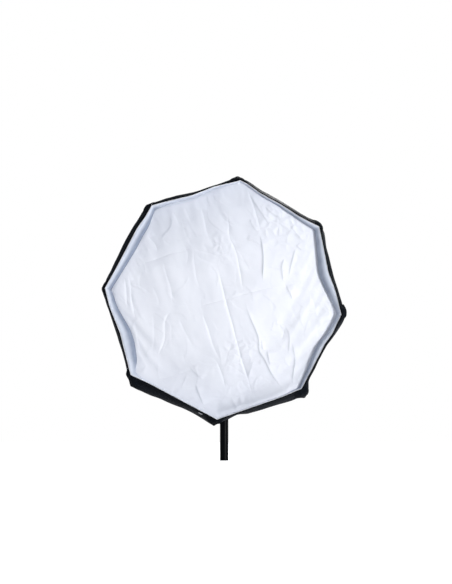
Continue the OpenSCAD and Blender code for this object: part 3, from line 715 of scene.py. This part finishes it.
def make_cover():
    """The nylon cover and the stitches along its seams."""
    shares = gore_shares(44)
    lengths = np.linspace(0, LINE_LEN, 96)
    flat = cover_grid(COVER_OFF, lengths, shares)
    points = flat + outward(flat) * cover_relief(flat, lengths, shares)[..., None]
    points = hung(points, lengths[:, None])
    cover = sheet("cover_cloth", points, 0.0008)
    finish_piece(cover, COVER_NYLON, "cover_nylon", "outer_cover")
    normal = outward(points)
    rows = []
    for i in range(SIDES):
        column = i * len(shares)
        for off in (-SEAM_STITCH, SEAM_STITCH):
            ahead = points[:, (column + 1) % points.shape[1]] - points[:, column]
            back = points[:, column - 1] - points[:, column]
            way = unit(ahead if off > 0 else back)
            line = points[:, column] + way * abs(off) + normal[:, column] * 0.0001
            rows.append((line[3:-7], normal[3:-7, column], False))
    thread = stitches("cover_seam_stitches", rows, pitch=0.0042, length=0.003)
    finish_piece(thread, THREAD_BLACK, "cover_nylon")


def make_lining():
    """The silver lining, just inside the cover."""
    shares = gore_shares(20)
    lengths = np.linspace(0.004, LINE_LEN - 0.001, 60)
    flat = cover_grid(LINING_OFF, lengths, shares)
    loose = -0.0013 + 0.0003 * np.clip(noise_at(flat, 0.05, 21, 2), -1, 1)
    relief = gore_hollow(lengths, shares) + np.where(seam_distance(flat, shares) < 0.005, -0.0008, loose)
    points = hung(flat + outward(flat) * relief[..., None], lengths[:, None])
    finish_piece(sheet("lining_cloth", points, 0.0005), SILVER, "silver_fabric", "silver_lining")


def rim_section(profile, shares, puckers=0.0):
    """A grid round the rim from a profile of (distance outside the rods, distance past the rim)."""
    rows = []
    for off, past in profile:
        radius, forward = rod_line(LINE_LEN + past, off)
        rows.append(rim_ring(radius, forward, rim_slack(LINE_LEN + past), shares))
    points = np.array(rows)
    if puckers:
        points += outward(points) * (puckers * noise_at(points, 0.02, 31, 2))[..., None]
    return hung(points, LINE_LEN + np.array([past for _, past in profile])[:, None])


def make_binding():
    """The tape folded over the rim, and its two rows of stitches."""
    shares = gore_shares(44)
    profile = [(0.0063, -0.0205), (0.0070, -0.0200), (0.0073, -0.0185), (0.0072, -0.012), (0.0073, -0.005),
               (0.0072, -0.001), (0.0066, 0.0008), (0.0056, 0.0014), (0.0046, 0.0010), (0.0038, -0.0006),
               (0.0035, -0.003), (0.0035, -0.006)]
    points = rim_section(profile, shares, 0.0005)
    tape = sheet("rim_tape", points, 0.0006)
    finish_piece(tape, BINDING, "black_binding", "rim_binding")
    normal = outward(points)
    sewn_rows = (3, 5)
    rows = [(points[k], normal[k], True) for k in sewn_rows]
    finish_piece(stitches("rim_tape_stitches", rows), THREAD_BLACK, "black_binding")


POCKET_LEN = 0.052
POCKET_HALF = 0.028
POCKET_OFF = 0.0078             # how far outside the rods' line the pockets lie
# How far each pocket fills out beside its rod
POCKET_FULL = [0.003, 0.005, 0.005, 0.008, 0.008, 0.008, 0.004, 0.004]


def pocket_half_width(back):
    """Half the width of a corner pocket at a distance back from the rim: straight sides and a round end."""
    past = np.clip((back - (POCKET_LEN - POCKET_HALF)) / POCKET_HALF, 0, 1)
    return POCKET_HALF * np.sqrt(1 - past ** 2)


def make_pockets():
    """The pockets over the rods' tips, and their stitches."""
    backs = np.concatenate([[-0.0012], np.linspace(0, POCKET_LEN - 0.0004, 30)])
    across = np.linspace(-1, 1, 41)
    rows_of_stitches = []
    for i in range(SIDES):
        grid = []
        for back in backs:
            length = LINE_LEN - back
            radius, forward = rod_line(length, POCKET_OFF)
            ring = corner_points(radius, forward, rim_slack(length))
            half = float(pocket_half_width(max(back, 0)))
            row = []
            for t in across:
                other = ring[(i + 1) % SIDES] if t > 0 else ring[i - 1]
                row.append(ring[i] + unit(other - ring[i]) * abs(t) * half)
            grid.append(bent(np.array(row), rim_slack(length)))
        grid = np.array(grid)
        middle = grid.mean((0, 1)) * np.array([1, 0, 1])
        normal = unit(np.cross(np.gradient(grid, axis=1), np.gradient(grid, axis=0)))
        if (normal * middle).sum() < 0:
            normal = -normal
        grid = hung(grid, LINE_LEN - backs[:, None])
        from_ridge = np.abs(across)[None, :] * pocket_half_width(np.maximum(backs, 0))[:, None]
        from_cap = np.hypot(from_ridge, backs[:, None] - RIM_OVERHANG)
        edge = np.minimum(1 - np.abs(across)[None, :], (POCKET_LEN - backs[:, None]) / POCKET_HALF)
        relief = 0.0022 * np.exp(-(from_cap / 0.009) ** 2) - 0.0010 * np.exp(-from_ridge / 0.002)
        relief = relief + 0.0007 * noise_at(grid, 0.012, 41 + i, 2) + 0.0010 * smooth(0, 0.16, edge)
        beside = 0.35 + 0.65 * smooth(0, 0.013, from_ridge)
        round_ridge = beside * (1 - smooth(0.010, POCKET_HALF, from_ridge))
        along = smooth(-0.002, 0.012, backs) * (1 - smooth(0.3 * POCKET_LEN, 0.95 * POCKET_LEN, backs))
        relief = relief + POCKET_FULL[i] * round_ridge * along[:, None]
        grid = grid + normal * relief[..., None]
        patch = sheet(f"corner_pocket_{i + 1}", grid, 0.0011, wrap=False, flip=True)
        finish_piece(patch, BINDING, "black_binding", *(["corner_pockets"] if i == 0 else []))
        inset = np.abs(across) < 0.86
        side_a = int(np.argmax(inset))
        side_b = len(across) - 1 - side_a
        last = int(np.argmax(backs > POCKET_LEN - 0.004))
        around, lift = (
            np.concatenate([g[2:last, side_a], g[last, side_a:side_b], g[2:last, side_b][::-1]])
            for g in (grid, normal))
        rows_of_stitches.append((around, lift, False))
    finish_piece(stitches("corner_pocket_stitches", rows_of_stitches), THREAD_BLACK, "black_binding")


# ---------- lip and diffuser ----------

def lip_foot(points):
    """Inset, depth and the darkness of the painted shade at the lip's foot, at points of the rim, from their
    angles round the box.
    """
    angle = bearing(points)
    return [round_interp(angle, [(knot[0], knot[k]) for knot in LIP]) for k in (1, 2, 3)]


def lip_rows(shares, steps):
    """The lip from its top at the rim to its foot, where the diffuser starts."""
    top = rim_ring(RIM_R, RIM_FWD, 1.0, shares)
    inset, depth, _ = lip_foot(top)
    inward = -radial(top)
    ripple = noise_at(top, 0.045, 51, 2)
    rows = []
    for t in np.linspace(0, 1, steps):
        ease = math.sin(t * math.pi / 2) ** 0.8
        swell = 0.0016 * math.sin(t * math.pi) * ripple
        row = top + inward * (inset * ease + swell)[:, None]
        row[:, 1] += depth * t ** 1.25
        rows.append(row)
    return np.array(rows)


def make_lip():
    """The lip and its piping; returns the line of the lip's foot."""
    steps = 12
    points = lip_rows(gore_shares(40, 0.7), steps)
    lip = sheet("lip_cloth", points, 0.0007)
    foot_shade = lip_foot(points[0])[2]
    # painted shade: the lip darkens towards its foot, in the recess beside the diffuser; this is kept in the
    # folded attribute
    folded = smooth(0.05, 0.50, np.linspace(0, 1, steps))[:, None] * foot_shade[None, :]
    attribute = lip.data.attributes.new("folded", "FLOAT", "POINT")
    attribute.data.foreach_set("value", folded.astype(np.float32).ravel())
    finish_piece(lip, LIP_FABRIC, "lip_fabric", "front_lip")
    edge = (points[0] + np.array([0, -0.0008, 0])) * np.array([1.001, 1, 1.001])
    piping = tube("lip_piping", edge, 0.0014, 8)
    finish_piece(piping, WHITE_TAPE, "white_tape")
    return points[-1]


def segment_distance(x, y, points):
    """How far points are from a line, their place along it (0 to 1), and a number above 0 on its left."""
    best = np.full(x.shape, 1e9)
    along = np.zeros(x.shape)
    side = np.zeros(x.shape)
    runs = [math.dist(a, b) for a, b in zip(points, points[1:])]
    done = 0.0
    for (ax, ay), (bx, by), run in zip(points, points[1:], runs):
        t = np.clip(((x - ax) * (bx - ax) + (y - ay) * (by - ay)) / run ** 2, 0, 1)
        d = np.hypot(x - ax - t * (bx - ax), y - ay - t * (by - ay))
        nearer = d < best
        best = np.where(nearer, d, best)
        along = np.where(nearer, (done + t * run) / sum(runs), along)
        side = np.where(nearer, (bx - ax) * (y - ay) - (by - ay) * (x - ax), side)
        done += run
    return best, along, side


def rounded_path(points, rounds=2):
    """Cuts a line's corners so that a crease bends instead of turning."""
    points = [np.array(p) for p in points]
    for _ in range(rounds if len(points) > 2 else 0):
        cut = [points[0]]
        for a, b in zip(points, points[1:]):
            cut += [0.75 * a + 0.25 * b, 0.25 * a + 0.75 * b]
        points = cut + [points[-1]]
    return [tuple(p) for p in points]


def small_folds(count, seed):
    """Short faint folds spread over the diffuser, mostly upright, in the form of the named ones."""
    rng = np.random.default_rng(seed)
    folds = []
    for _ in range(count):
        reach = 0.88 * math.sqrt(rng.uniform(0, 1))
        turn = rng.uniform(0, 2 * math.pi)
        middle = np.array([reach * math.cos(turn), reach * math.sin(turn)])
        lean = math.radians(rng.normal(-72, 34))
        way = np.array([math.cos(lean), math.sin(lean)]) * rng.uniform(0.04, 0.11)
        bow = np.array([-way[1], way[0]]) * rng.uniform(-0.5, 0.5)
        folds.append((rng.uniform(0.25, 0.75), [middle - way, middle + bow, middle + way]))
    return folds


def crease_relief(x, y):
    """Forward relief of the diffuser's creases, crumples and swells, in metres, from metres across and up."""
    flat = np.stack([x, np.zeros_like(x), y], -1)
    total = 0.0006 * (crumple(flat + 0.01 * noise_at(flat, 0.05, 64)[:, None], 0.07, 65) - 0.3)
    total += 0.0034 * noise_at(flat, 0.13, 67, 2) + 0.0009 * noise_at(flat, 0.045, 69)
    wander = 0.003 * noise_at(flat, 0.05, 61)
    for rise, left, right, folds in ((-1, 1, 1.6, GROOVES), (-1, 1, 4, LEFT_FOLDS), (1.4, 1, 6, RIGHT_FOLDS),
                                     (-1, 1, 3, small_folds(60, 5)), (1.2, 1, 4, small_folds(60, 6))):
        for depth, points in folds:
            line = rounded_path([(RIM_R * a, RIM_R * b) for a, b in points])
            d, along, side = segment_distance(x + wander, y - wander, line)
            fade = smooth(0, 0.25, along) * smooth(0, 0.25, 1 - along)
            reach = CREASE_W * np.where(side > 0, right, left) * (0.1 + 0.9 * fade)
            total += rise * depth * CREASE_H * fade * np.exp(-d / reach)
    for a, b, size, height in CRUMPLES:
        near = np.exp(-(np.hypot(x / RIM_R - a, y / RIM_R - b) / size) ** 2)
        total += height * near * (crumple(flat, 0.032, 63) - 0.5)
    for a, b, size, height in SWELLS:
        total += height * np.exp(-(np.hypot(x / RIM_R - a, y / RIM_R - b) / size) ** 2)
    return total


def read_round(x, z, outline, values):
    """Values given at a closed outline's points, read at the angle of each x and z."""
    own = bearing(outline) % 360
    order = np.argsort(own)
    return np.interp(np.degrees(np.arctan2(z, x)) % 360, own[order], values[order], period=360)


def triangle_sheet(outline, spacing):
    """Points and triangles that fill an outline in the XZ plane; the outline's own points come first."""
    rim = [Vector((p[0], p[2])) for p in outline]
    reach = np.hypot(outline[:, 0], outline[:, 2])
    inner = []
    rows = int(reach.max() / (spacing * 0.866)) + 1
    for j in range(-rows, rows + 1):
        for i in range(-rows - 2, rows + 3):
            x = (i + 0.5 * (j % 2)) * spacing
            y = j * spacing * 0.866
            inner.append((x, y))
    inner = np.array(inner)
    edge = read_round(inner[:, 0], inner[:, 1], outline, reach)
    inner = [Vector(p) for p in inner[np.hypot(inner[:, 0], inner[:, 1]) < edge - 0.65 * spacing]]
    edges = [(i, (i + 1) % len(rim)) for i in range(len(rim))]
    verts, _, faces, _, _, _ = delaunay_2d_cdt(rim + inner, edges, [], 1, 1e-6)
    return np.array([tuple(v) for v in verts]), faces


def even_outline(foot, step):
    """Points about a step apart round the lip's foot, with one at each corner."""
    columns = len(foot) // SIDES
    sides = []
    for i in range(SIDES):
        side = np.take(foot, range(i * columns, (i + 1) * columns + 1), axis=0, mode="wrap")
        run = np.concatenate([[0], np.cumsum(np.linalg.norm(np.diff(side, axis=0), axis=1))])
        at = np.linspace(0, run[-1], round(run[-1] / step), endpoint=False)
        sides.append(np.stack([np.interp(at, run, side[:, k]) for k in range(3)], -1))
    return np.concatenate(sides)


def make_diffuser(foot):
    """The front diffuser: a flat sheet that is draped, then creased; returns its object."""
    step = 0.009
    outline = even_outline(foot, step)
    flat, faces = triangle_sheet(outline, step)
    rim_reach = np.hypot(outline[:, 0], outline[:, 2])
    reach = read_round(flat[:, 0], flat[:, 1], outline, rim_reach)
    edge_fwd = read_round(flat[:, 0], flat[:, 1], outline, -outline[:, 1])
    near = np.hypot(flat[:, 0], flat[:, 1]) / reach
    middle = DIFFUSER_FWD + 0.003
    forward = middle + (edge_fwd - middle) * smooth(0.80, 1.0, near) ** 1.4
    verts = np.stack([flat[:, 0], -forward, flat[:, 1]], -1)
    diffuser = make_mesh("diffuser_cloth", verts, faces)
    pinned = near > 0.985
    drape(diffuser, pinned)
    fine = diffuser.modifiers.new("fine", "SUBSURF")
    fine.levels = 2
    fine.subdivision_type = "CATMULL_CLARK"
    fine.boundary_smooth = "PRESERVE_CORNERS"
    apply_modifiers(diffuser)
    co = vertex_array(diffuser)
    reach = read_round(co[:, 0], co[:, 2], outline, rim_reach)
    inside = smooth(0, 0.03, 1 - np.hypot(co[:, 0], co[:, 2]) / reach)
    co[:, 1] -= inside * crease_relief(co[:, 0], co[:, 2])
    tips = place(TIP_R, np.array(CORNERS), 0.0)
    gap = np.hypot(co[:, :1] - tips[:, 0], co[:, 2:] - tips[:, 2]).min(axis=1)
    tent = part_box("rod_caps")[0].y - 0.0018 + 0.03 * (1 - np.exp(-(gap / 0.0075) ** 8))
    co[:, 1] = np.minimum(co[:, 1], tent)
    set_vertices(diffuser, co)
    lay_uvs(diffuser.data, co[:, [0, 2]])
    diffuser.data.shade_smooth()
    finish_piece(diffuser, DIFFUSER_FABRIC, "diffuser_fabric", "front_diffuser")
    thicken(diffuser, 0.0006, -1 if diffuser.data.polygons[0].normal.y < 0 else 1)
    return diffuser


DRAPE_FRAMES = 24
DRAPE_GROWTH = 0.004            # how much larger the sheet is than its frame, as a share


def drape(obj, pinned):
    """Lets a sheet that is a little too large settle between its held edges."""
    group = obj.vertex_groups.new(name="held")
    group.add([int(i) for i in np.nonzero(pinned)[0]], 1.0, "REPLACE")
    start = vertex_array(obj)
    start[:, 1] += 0.0015 * noise_at(start, 0.05, 71, 2) * (~pinned)
    set_vertices(obj, start)
    modifier = obj.modifiers.new("drape", "CLOTH")
    settings = modifier.settings
    settings.quality = 6
    settings.mass = 0.08
    settings.tension_stiffness = 20
    settings.compression_stiffness = 20
    settings.shear_stiffness = 8
    settings.bending_stiffness = 0.12
    settings.air_damping = 2
    settings.shrink_min = -DRAPE_GROWTH
    settings.shrink_max = -DRAPE_GROWTH
    settings.vertex_group_mass = "held"
    modifier.collision_settings.use_collision = False
    modifier.collision_settings.use_self_collision = False
    modifier.point_cache.frame_start = 1
    modifier.point_cache.frame_end = DRAPE_FRAMES
    for frame_number in range(1, DRAPE_FRAMES + 1):
        bpy.context.scene.frame_set(frame_number)
    apply_modifiers(obj)
    bpy.context.scene.frame_set(1)
    co = vertex_array(obj)
    moved = co - start
    moved[:, 1] = 0.006 * np.tanh(moved[:, 1] / 0.009)
    set_vertices(obj, start + moved)


HEM_WIDTH = 0.0175


def make_hem(foot, diffuser):
    """The diffuser's doubled edge, which follows its back."""
    front = KDTree(len(diffuser.data.vertices))
    for i, vertex in enumerate(diffuser.data.vertices):
        front.insert((vertex.co.x, 0, vertex.co.z), i)
    front.balance()
    inward = -radial(foot)
    rows = []
    for t in np.linspace(0, 1, 7):
        row = foot + inward * HEM_WIDTH * t
        for point in row:
            near = front.find_n((point[0], 0, point[2]), 3)
            point[1] = max(diffuser.data.vertices[i].co.y for _, i, _ in near) + 0.0016
        rows.append(row)
    hem = sheet("diffuser_hem_cloth", np.array(rows), 0.0006)
    finish_piece(hem, WHITE_TAPE, "white_tape", "diffuser_hem")


# ---------- sleeve, baffle, straps and tag ----------

def make_sleeve():
    """Gathered elastic collar between the cover's rear edge and the speed ring."""
    low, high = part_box("ring_sleeve")
    outer = (high.z - low.z) / 2
    inner = 0.0908              # a little outside the speed ring
    pleats = 56
    columns = pleats * 10
    angle = np.linspace(0, 360, columns, endpoint=False)
    wave = np.cos(np.radians(pleats * angle + 40 * noise_at(place(0.1, angle, 0), 0.03, 91)))
    rows = []
    for t in np.linspace(0, 1, 14):
        radius = inner + (outer - 0.0012 - inner) * t
        pleated = math.sin(math.pi * min(1, 0.15 + 0.85 * t)) ** 0.6
        forward = 0.0188 + 0.0026 * t ** 2 + 0.0009 * wave * pleated
        rows.append(place(radius, angle, forward))
    finish_piece(sheet("sleeve_cloth", np.array(rows), 0.0007), ELASTIC, "black_elastic", "ring_sleeve")
    line = place(0.0928 + 0.0002 * wave, angle, 0.0180)
    casing = tube("sleeve_casing", line, 0.0015, 10)
    finish_piece(casing, ELASTIC, "black_elastic")


def make_baffle():
    """The inner baffle, whose sides pull in between its corners, and its hem."""
    radius = corner_radius("inner_baffle")
    front = -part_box("inner_baffle")[0].y
    shares = gore_shares(28, 0.4)
    outline = round_box(corner_points(radius, front), shares)
    pull = 0.010 * np.sin(math.pi * np.tile(shares, SIDES))
    flat = np.hypot(outline[:, 0], outline[:, 2])
    outline *= (1 - pull / flat)[:, None]
    points, faces = triangle_sheet(outline, 0.010)
    x, z = points[:, 0], points[:, 1]
    near = np.hypot(x, z) / radius
    verts = np.stack([x, np.full_like(x, -front), z], -1)
    spokes = np.abs(np.cos(np.radians(4 * (np.degrees(np.arctan2(z, x)) - ROLL))))
    relief = 0.004 * smooth(1, 0.2, near) * noise_at(verts, 0.12, 101, 2) + 0.0015 * spokes * near ** 2
    relief += 0.0015 * (crumple(verts, 0.09, 103) - 0.3)
    verts[:, 1] -= relief * smooth(1.0, 0.86, near)
    cloth_piece = make_mesh("baffle_cloth", verts, faces, np.stack([x, z], -1))
    thicken(cloth_piece, 0.0005)
    finish_piece(cloth_piece, BAFFLE_FABRIC, "baffle_fabric", "inner_baffle")
    band = []
    inward = -radial(outline)
    for t in np.linspace(0, 1, 5):
        band.append(outline + inward * (0.0005 + 0.014 * t) + np.array([0, -0.0008, 0]))
    finish_piece(sheet("baffle_hem", np.array(band), 0.0005), WHITE_TAPE, "baffle_fabric")


def make_straps():
    """Elastic straps from the baffle's corners to the rods, drawn down a little between their snaps."""
    end = corner_radius("baffle_straps") - 0.0006
    start = corner_radius("inner_baffle") - 0.012
    half = 0.009
    front = -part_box("baffle_straps")[0].y
    for i, corner in enumerate(CORNERS):
        way = place(1, corner, 0)
        side = np.array([-way[2], 0, way[0]])
        rows = []
        for w in np.linspace(-half, half, 7):
            row = []
            for t in np.linspace(0, 1, 44):
                sag = 0.0016 * math.sin(math.pi * t) ** 2
                narrow = 1 - 0.12 * math.sin(math.pi * t)
                row.append(way * (start + (end - start) * t) + side * w * narrow
                           + np.array([0, -front + 0.0003 + sag, 0]))
            rows.append(row)
        strap = sheet(f"baffle_strap_{i + 1}", np.array(rows), 0.0009, wrap=False)
        finish_piece(strap, ELASTIC, "black_elastic", *(["baffle_straps"] if i == 0 else []))


TAG_OFF = 0.0083                # how far outside the rods' line the tag lies
TAG_WIDTH, TAG_HEIGHT = 0.0128, 0.0088


def make_tag():
    """Blank woven tag sewn to the rim's tape beside the lowest corner."""
    length = LINE_LEN - 0.0075
    low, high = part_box("label_tag")
    middle = (low + high) / 2
    lowest = SIDES // 2         # the corner opposite the top one
    radius, forward = rod_line(length, TAG_OFF)
    ring = corner_points(radius, forward)
    a, b = ring[lowest], ring[(lowest + 1) % SIDES]
    way = unit(b - a)
    from_corner = float(np.dot(np.array(middle) - a, way))
    behind = np.array(cover_point(lowest, length - 0.009, from_corner, TAG_OFF))
    front = np.array(cover_point(lowest, length, from_corner, TAG_OFF))
    back = unit(behind - front)
    out = np.cross(way, back)
    if np.dot(out, front * np.array([1, 0, 1])) < 0:
        out = -out
    rows = []
    for v in np.linspace(0, 1, 9):
        row = []
        for u in np.linspace(-0.5, 0.5, 13):
            lift = 0.0007 * v * (1 - v) * 4 + 0.0009 * (2 * u) ** 4 * v + 0.0004 * math.sin(7 * u + 3 * v)
            row.append(front + way * u * TAG_WIDTH + back * v * TAG_HEIGHT + out * (0.0002 + lift))
        rows.append(row)
    tag = sheet("tag_cloth", np.array(rows), 0.0005, wrap=False)
    finish_piece(tag, TAG_WHITE, "white_tape", "label_tag")
    across = np.linspace(-0.5, 0.5, 9) * (TAG_WIDTH - 0.001)
    line = [front + way * u + back * 0.0012 + out * 0.0006 for u in across]
    sewn = stitches("tag_stitches", [(line, [out] * len(line), False)], 0.0019, 0.0015, 0.00022)
    finish_piece(sewn, THREAD_BLACK, "white_tape")


def cover_point(corner, length, from_corner, off):
    """A point on the gore after a corner, by its length along the cover and its distance from the seam."""
    radius, forward = rod_line(length, off)
    ring = corner_points(radius, forward, rim_slack(length))
    return ring[corner] + unit(ring[(corner + 1) % SIDES] - ring[corner]) * from_corner


# ---------- finishes ----------

COVER_NYLON = cloth("cover_nylon_look", (0.0105, 0.0135, 0.0190), (0.0070, 0.0092, 0.0135), 0.000565,
                    0.62, 0.0, gloss=0.06)
THREAD_BLACK = cloth("thread_black_look", (0.009, 0.009, 0.011), (0.005, 0.005, 0.006), 0.000314, 0.6, 0.03)
BINDING = webbing("binding_look", (0.0036, 0.0055, 0.0090))
ELASTIC = webbing("elastic_look", (0.016, 0.016, 0.019), 0.001)
SILVER = silver("silver_lining_look")
# painted shade: the second lip colour is the shaded tone of its recessed foot
LIP_FABRIC = lip_cloth_look("lip_look", (0.70, 0.74, 0.83), (0.26, 0.30, 0.39))
DIFFUSER_FABRIC = diffuser_cloth_look("diffuser_look", (0.88, 0.89, 0.935), (0.845, 0.855, 0.905))
BAFFLE_FABRIC = cloth("baffle_look", (0.84, 0.85, 0.88), (0.79, 0.80, 0.84), 0.00044, 0.75, 0.15)
WHITE_TAPE = webbing("white_tape_look", (0.86, 0.86, 0.88), 0.00063)
TAG_WHITE = cloth("tag_look", (0.86, 0.86, 0.86), (0.78, 0.78, 0.79), 0.000314, 0.7, 0.2)

BLACK_CASTING = painted("casting_look", (0.016, 0.016, 0.018), 0.5, peel=0.0011)
BLACK_PLASTIC = painted("plastic_look", (0.013, 0.013, 0.014), 0.48, peel=0.0006, wear=(0.10, 0.10, 0.10))
ANODISED = painted("anodised_look", (0.013, 0.013, 0.015), 0.36, metallic=0.55, peel=0.0005)
TUBE_BLACK = painted("tube_look", (0.0025, 0.003, 0.004), 0.36, peel=0.0005, wear=None, dusty=0.05,
                     gloss=0.04)
BARE_ALUMINIUM = bare_metal("aluminium_look", (0.78, 0.79, 0.80), 0.30, (1, 60, 1))
STEEL = bare_metal("zinc_steel_look", (0.60, 0.61, 0.63), 0.30, (8, 8, 8), 0.01)
ROD_STEEL = bare_metal("rod_look", (0.13, 0.13, 0.14), 0.34, (5, 5, 5), 0.01)
NICKEL = bare_metal("nickel_look", (0.74, 0.73, 0.71), 0.16, (6, 6, 6), 0.004)
THREADED_STEEL = threaded("screw_look", (0.62, 0.62, 0.64), 0.00126)
PAD_RUBBER = rubber("rubber_look")
WASHER_NYLON = painted("washer_look", (0.52, 0.49, 0.42), 0.5, wear=(0.6, 0.58, 0.5))

LOOKS = {
    "spring_steel": ROD_STEEL, "black_plastic": BLACK_PLASTIC, "snap_steel": NICKEL,
    "black_anodised": ANODISED, "bare_aluminium": BARE_ALUMINIUM, "steel": STEEL,
    "black_casting": BLACK_CASTING, "rubber": PAD_RUBBER, "washer_nylon": WASHER_NYLON,
    "cover_nylon": COVER_NYLON, "silver_fabric": SILVER, "black_binding": BINDING, "lip_fabric": LIP_FABRIC,
    "white_tape": WHITE_TAPE, "black_elastic": ELASTIC, "baffle_fabric": BAFFLE_FABRIC,
    "diffuser_fabric": DIFFUSER_FABRIC}
OWN_LOOKS = {"clamp_screw": THREADED_STEEL, "riser_tube": TUBE_BLACK}


def dress_cad_nodes():
    """Gives every CAD node the finish of its slot in the record, or one of its own."""
    slots = {part["node"]: part["material_slot"] for part in frame["record"]["subparts"]}
    for name, obj in frame["nodes"].items():
        obj.data.materials.clear()
        obj.data.materials.append(OWN_LOOKS.get(name, LOOKS[slots[name]]))


# ---------- floor, light and camera ----------

def make_stage():
    """The pale floor, which only the camera sees as lit, and the studio around it."""
    half = 30
    floor = make_mesh("floor", [(-half, -half, FLOOR_Z), (half, -half, FLOOR_Z), (half, half, FLOOR_Z),
                                (-half, half, FLOOR_Z)], [(0, 1, 2, 3)])
    f = Finish("floor_look")
    f.surface(Base_Color=f.mottle(f.grain(0.4, 3), (0.93, 0.93, 0.93), (0.96, 0.96, 0.96)),
              Roughness=0.9, Specular_IOR_Level=0.1, Emission_Color=(1, 1, 1),
              Emission_Strength=f.node("ShaderNodeLightPath"))
    floor.data.materials.append(f.material)

    world = bpy.data.worlds.new("studio")
    bpy.context.scene.world = world
    world.use_nodes = True
    nodes, links = world.node_tree.nodes, world.node_tree.links
    background = nodes["Background"]
    seen = nodes.new("ShaderNodeLightPath")
    strength = nodes.new("ShaderNodeMapRange")
    strength.inputs["To Min"].default_value = 0.35
    strength.inputs["To Max"].default_value = 1.0
    links.new(seen.outputs["Is Camera Ray"], strength.inputs["Value"])
    links.new(strength.outputs[0], background.inputs["Strength"])
    tint = nodes.new("ShaderNodeMix")
    tint.data_type = "RGBA"
    tint.inputs[6].default_value = (0.83, 0.89, 1, 1)
    tint.inputs[7].default_value = (1, 1, 1, 1)
    links.new(seen.outputs["Is Camera Ray"], tint.inputs[0])
    links.new(tint.outputs[2], background.inputs["Color"])


def add_light(name, position, target, size, power, colour=(1, 1, 1)):
    """A round soft light, its size in metres and its power in watts."""
    data = bpy.data.lights.new(name, "AREA")
    data.shape = "DISK"
    data.size = size
    data.energy = power
    data.color = colour
    light = bpy.data.objects.new(name, data)
    light.location = position
    light.rotation_euler = (Vector(target) - Vector(position)).to_track_quat("-Z", "Y").to_euler()
    light.visible_camera = False
    bpy.context.scene.collection.objects.link(light)


CAMERA_AZIMUTH, CAMERA_ELEVATION = -0.8, -5.8
CAMERA_DISTANCE = 4.52
LENS = 85
DROP_IN_FRAME = 0.0128          # how far below the frame's middle the box's centre lies, as a share


def make_camera():
    """The camera, at the photograph's angle."""
    data = bpy.data.cameras.new("camera")
    data.lens = LENS
    data.shift_y = DROP_IN_FRAME
    camera = bpy.data.objects.new("camera", data)
    azimuth, elevation = math.radians(CAMERA_AZIMUTH), math.radians(CAMERA_ELEVATION)
    away = Vector((math.sin(azimuth) * math.cos(elevation), -math.cos(azimuth) * math.cos(elevation),
                   math.sin(elevation)))
    centre = Vector((0, -RIM_FWD, 0))
    camera.location = centre + away * CAMERA_DISTANCE
    camera.rotation_euler = (-away).to_track_quat("-Z", "Y").to_euler()
    bpy.context.scene.collection.objects.link(camera)
    bpy.context.scene.camera = camera


# ---------- the whole ----------

dress_cad_nodes()
make_cover()
make_lining()
make_binding()
make_pockets()
foot_line = make_lip()
make_hem(foot_line, make_diffuser(foot_line))
make_sleeve()
make_baffle()
make_straps()
make_tag()

make_stage()
add_light("key", (3.0, -3.9, -0.15), (0, -0.4, 0), 0.8, 160)
add_light("fill", (-3.2, -3.0, 0.8), (0, -0.4, 0), 2.5, 8, (0.86, 0.92, 1))
add_light("rear", (1.5, 3.0, 2.2), (0, 0, 0), 1.5, 110)
make_camera()
scene = bpy.context.scene
scene.view_settings.view_transform = "Standard"
scene.view_settings.look = "None"
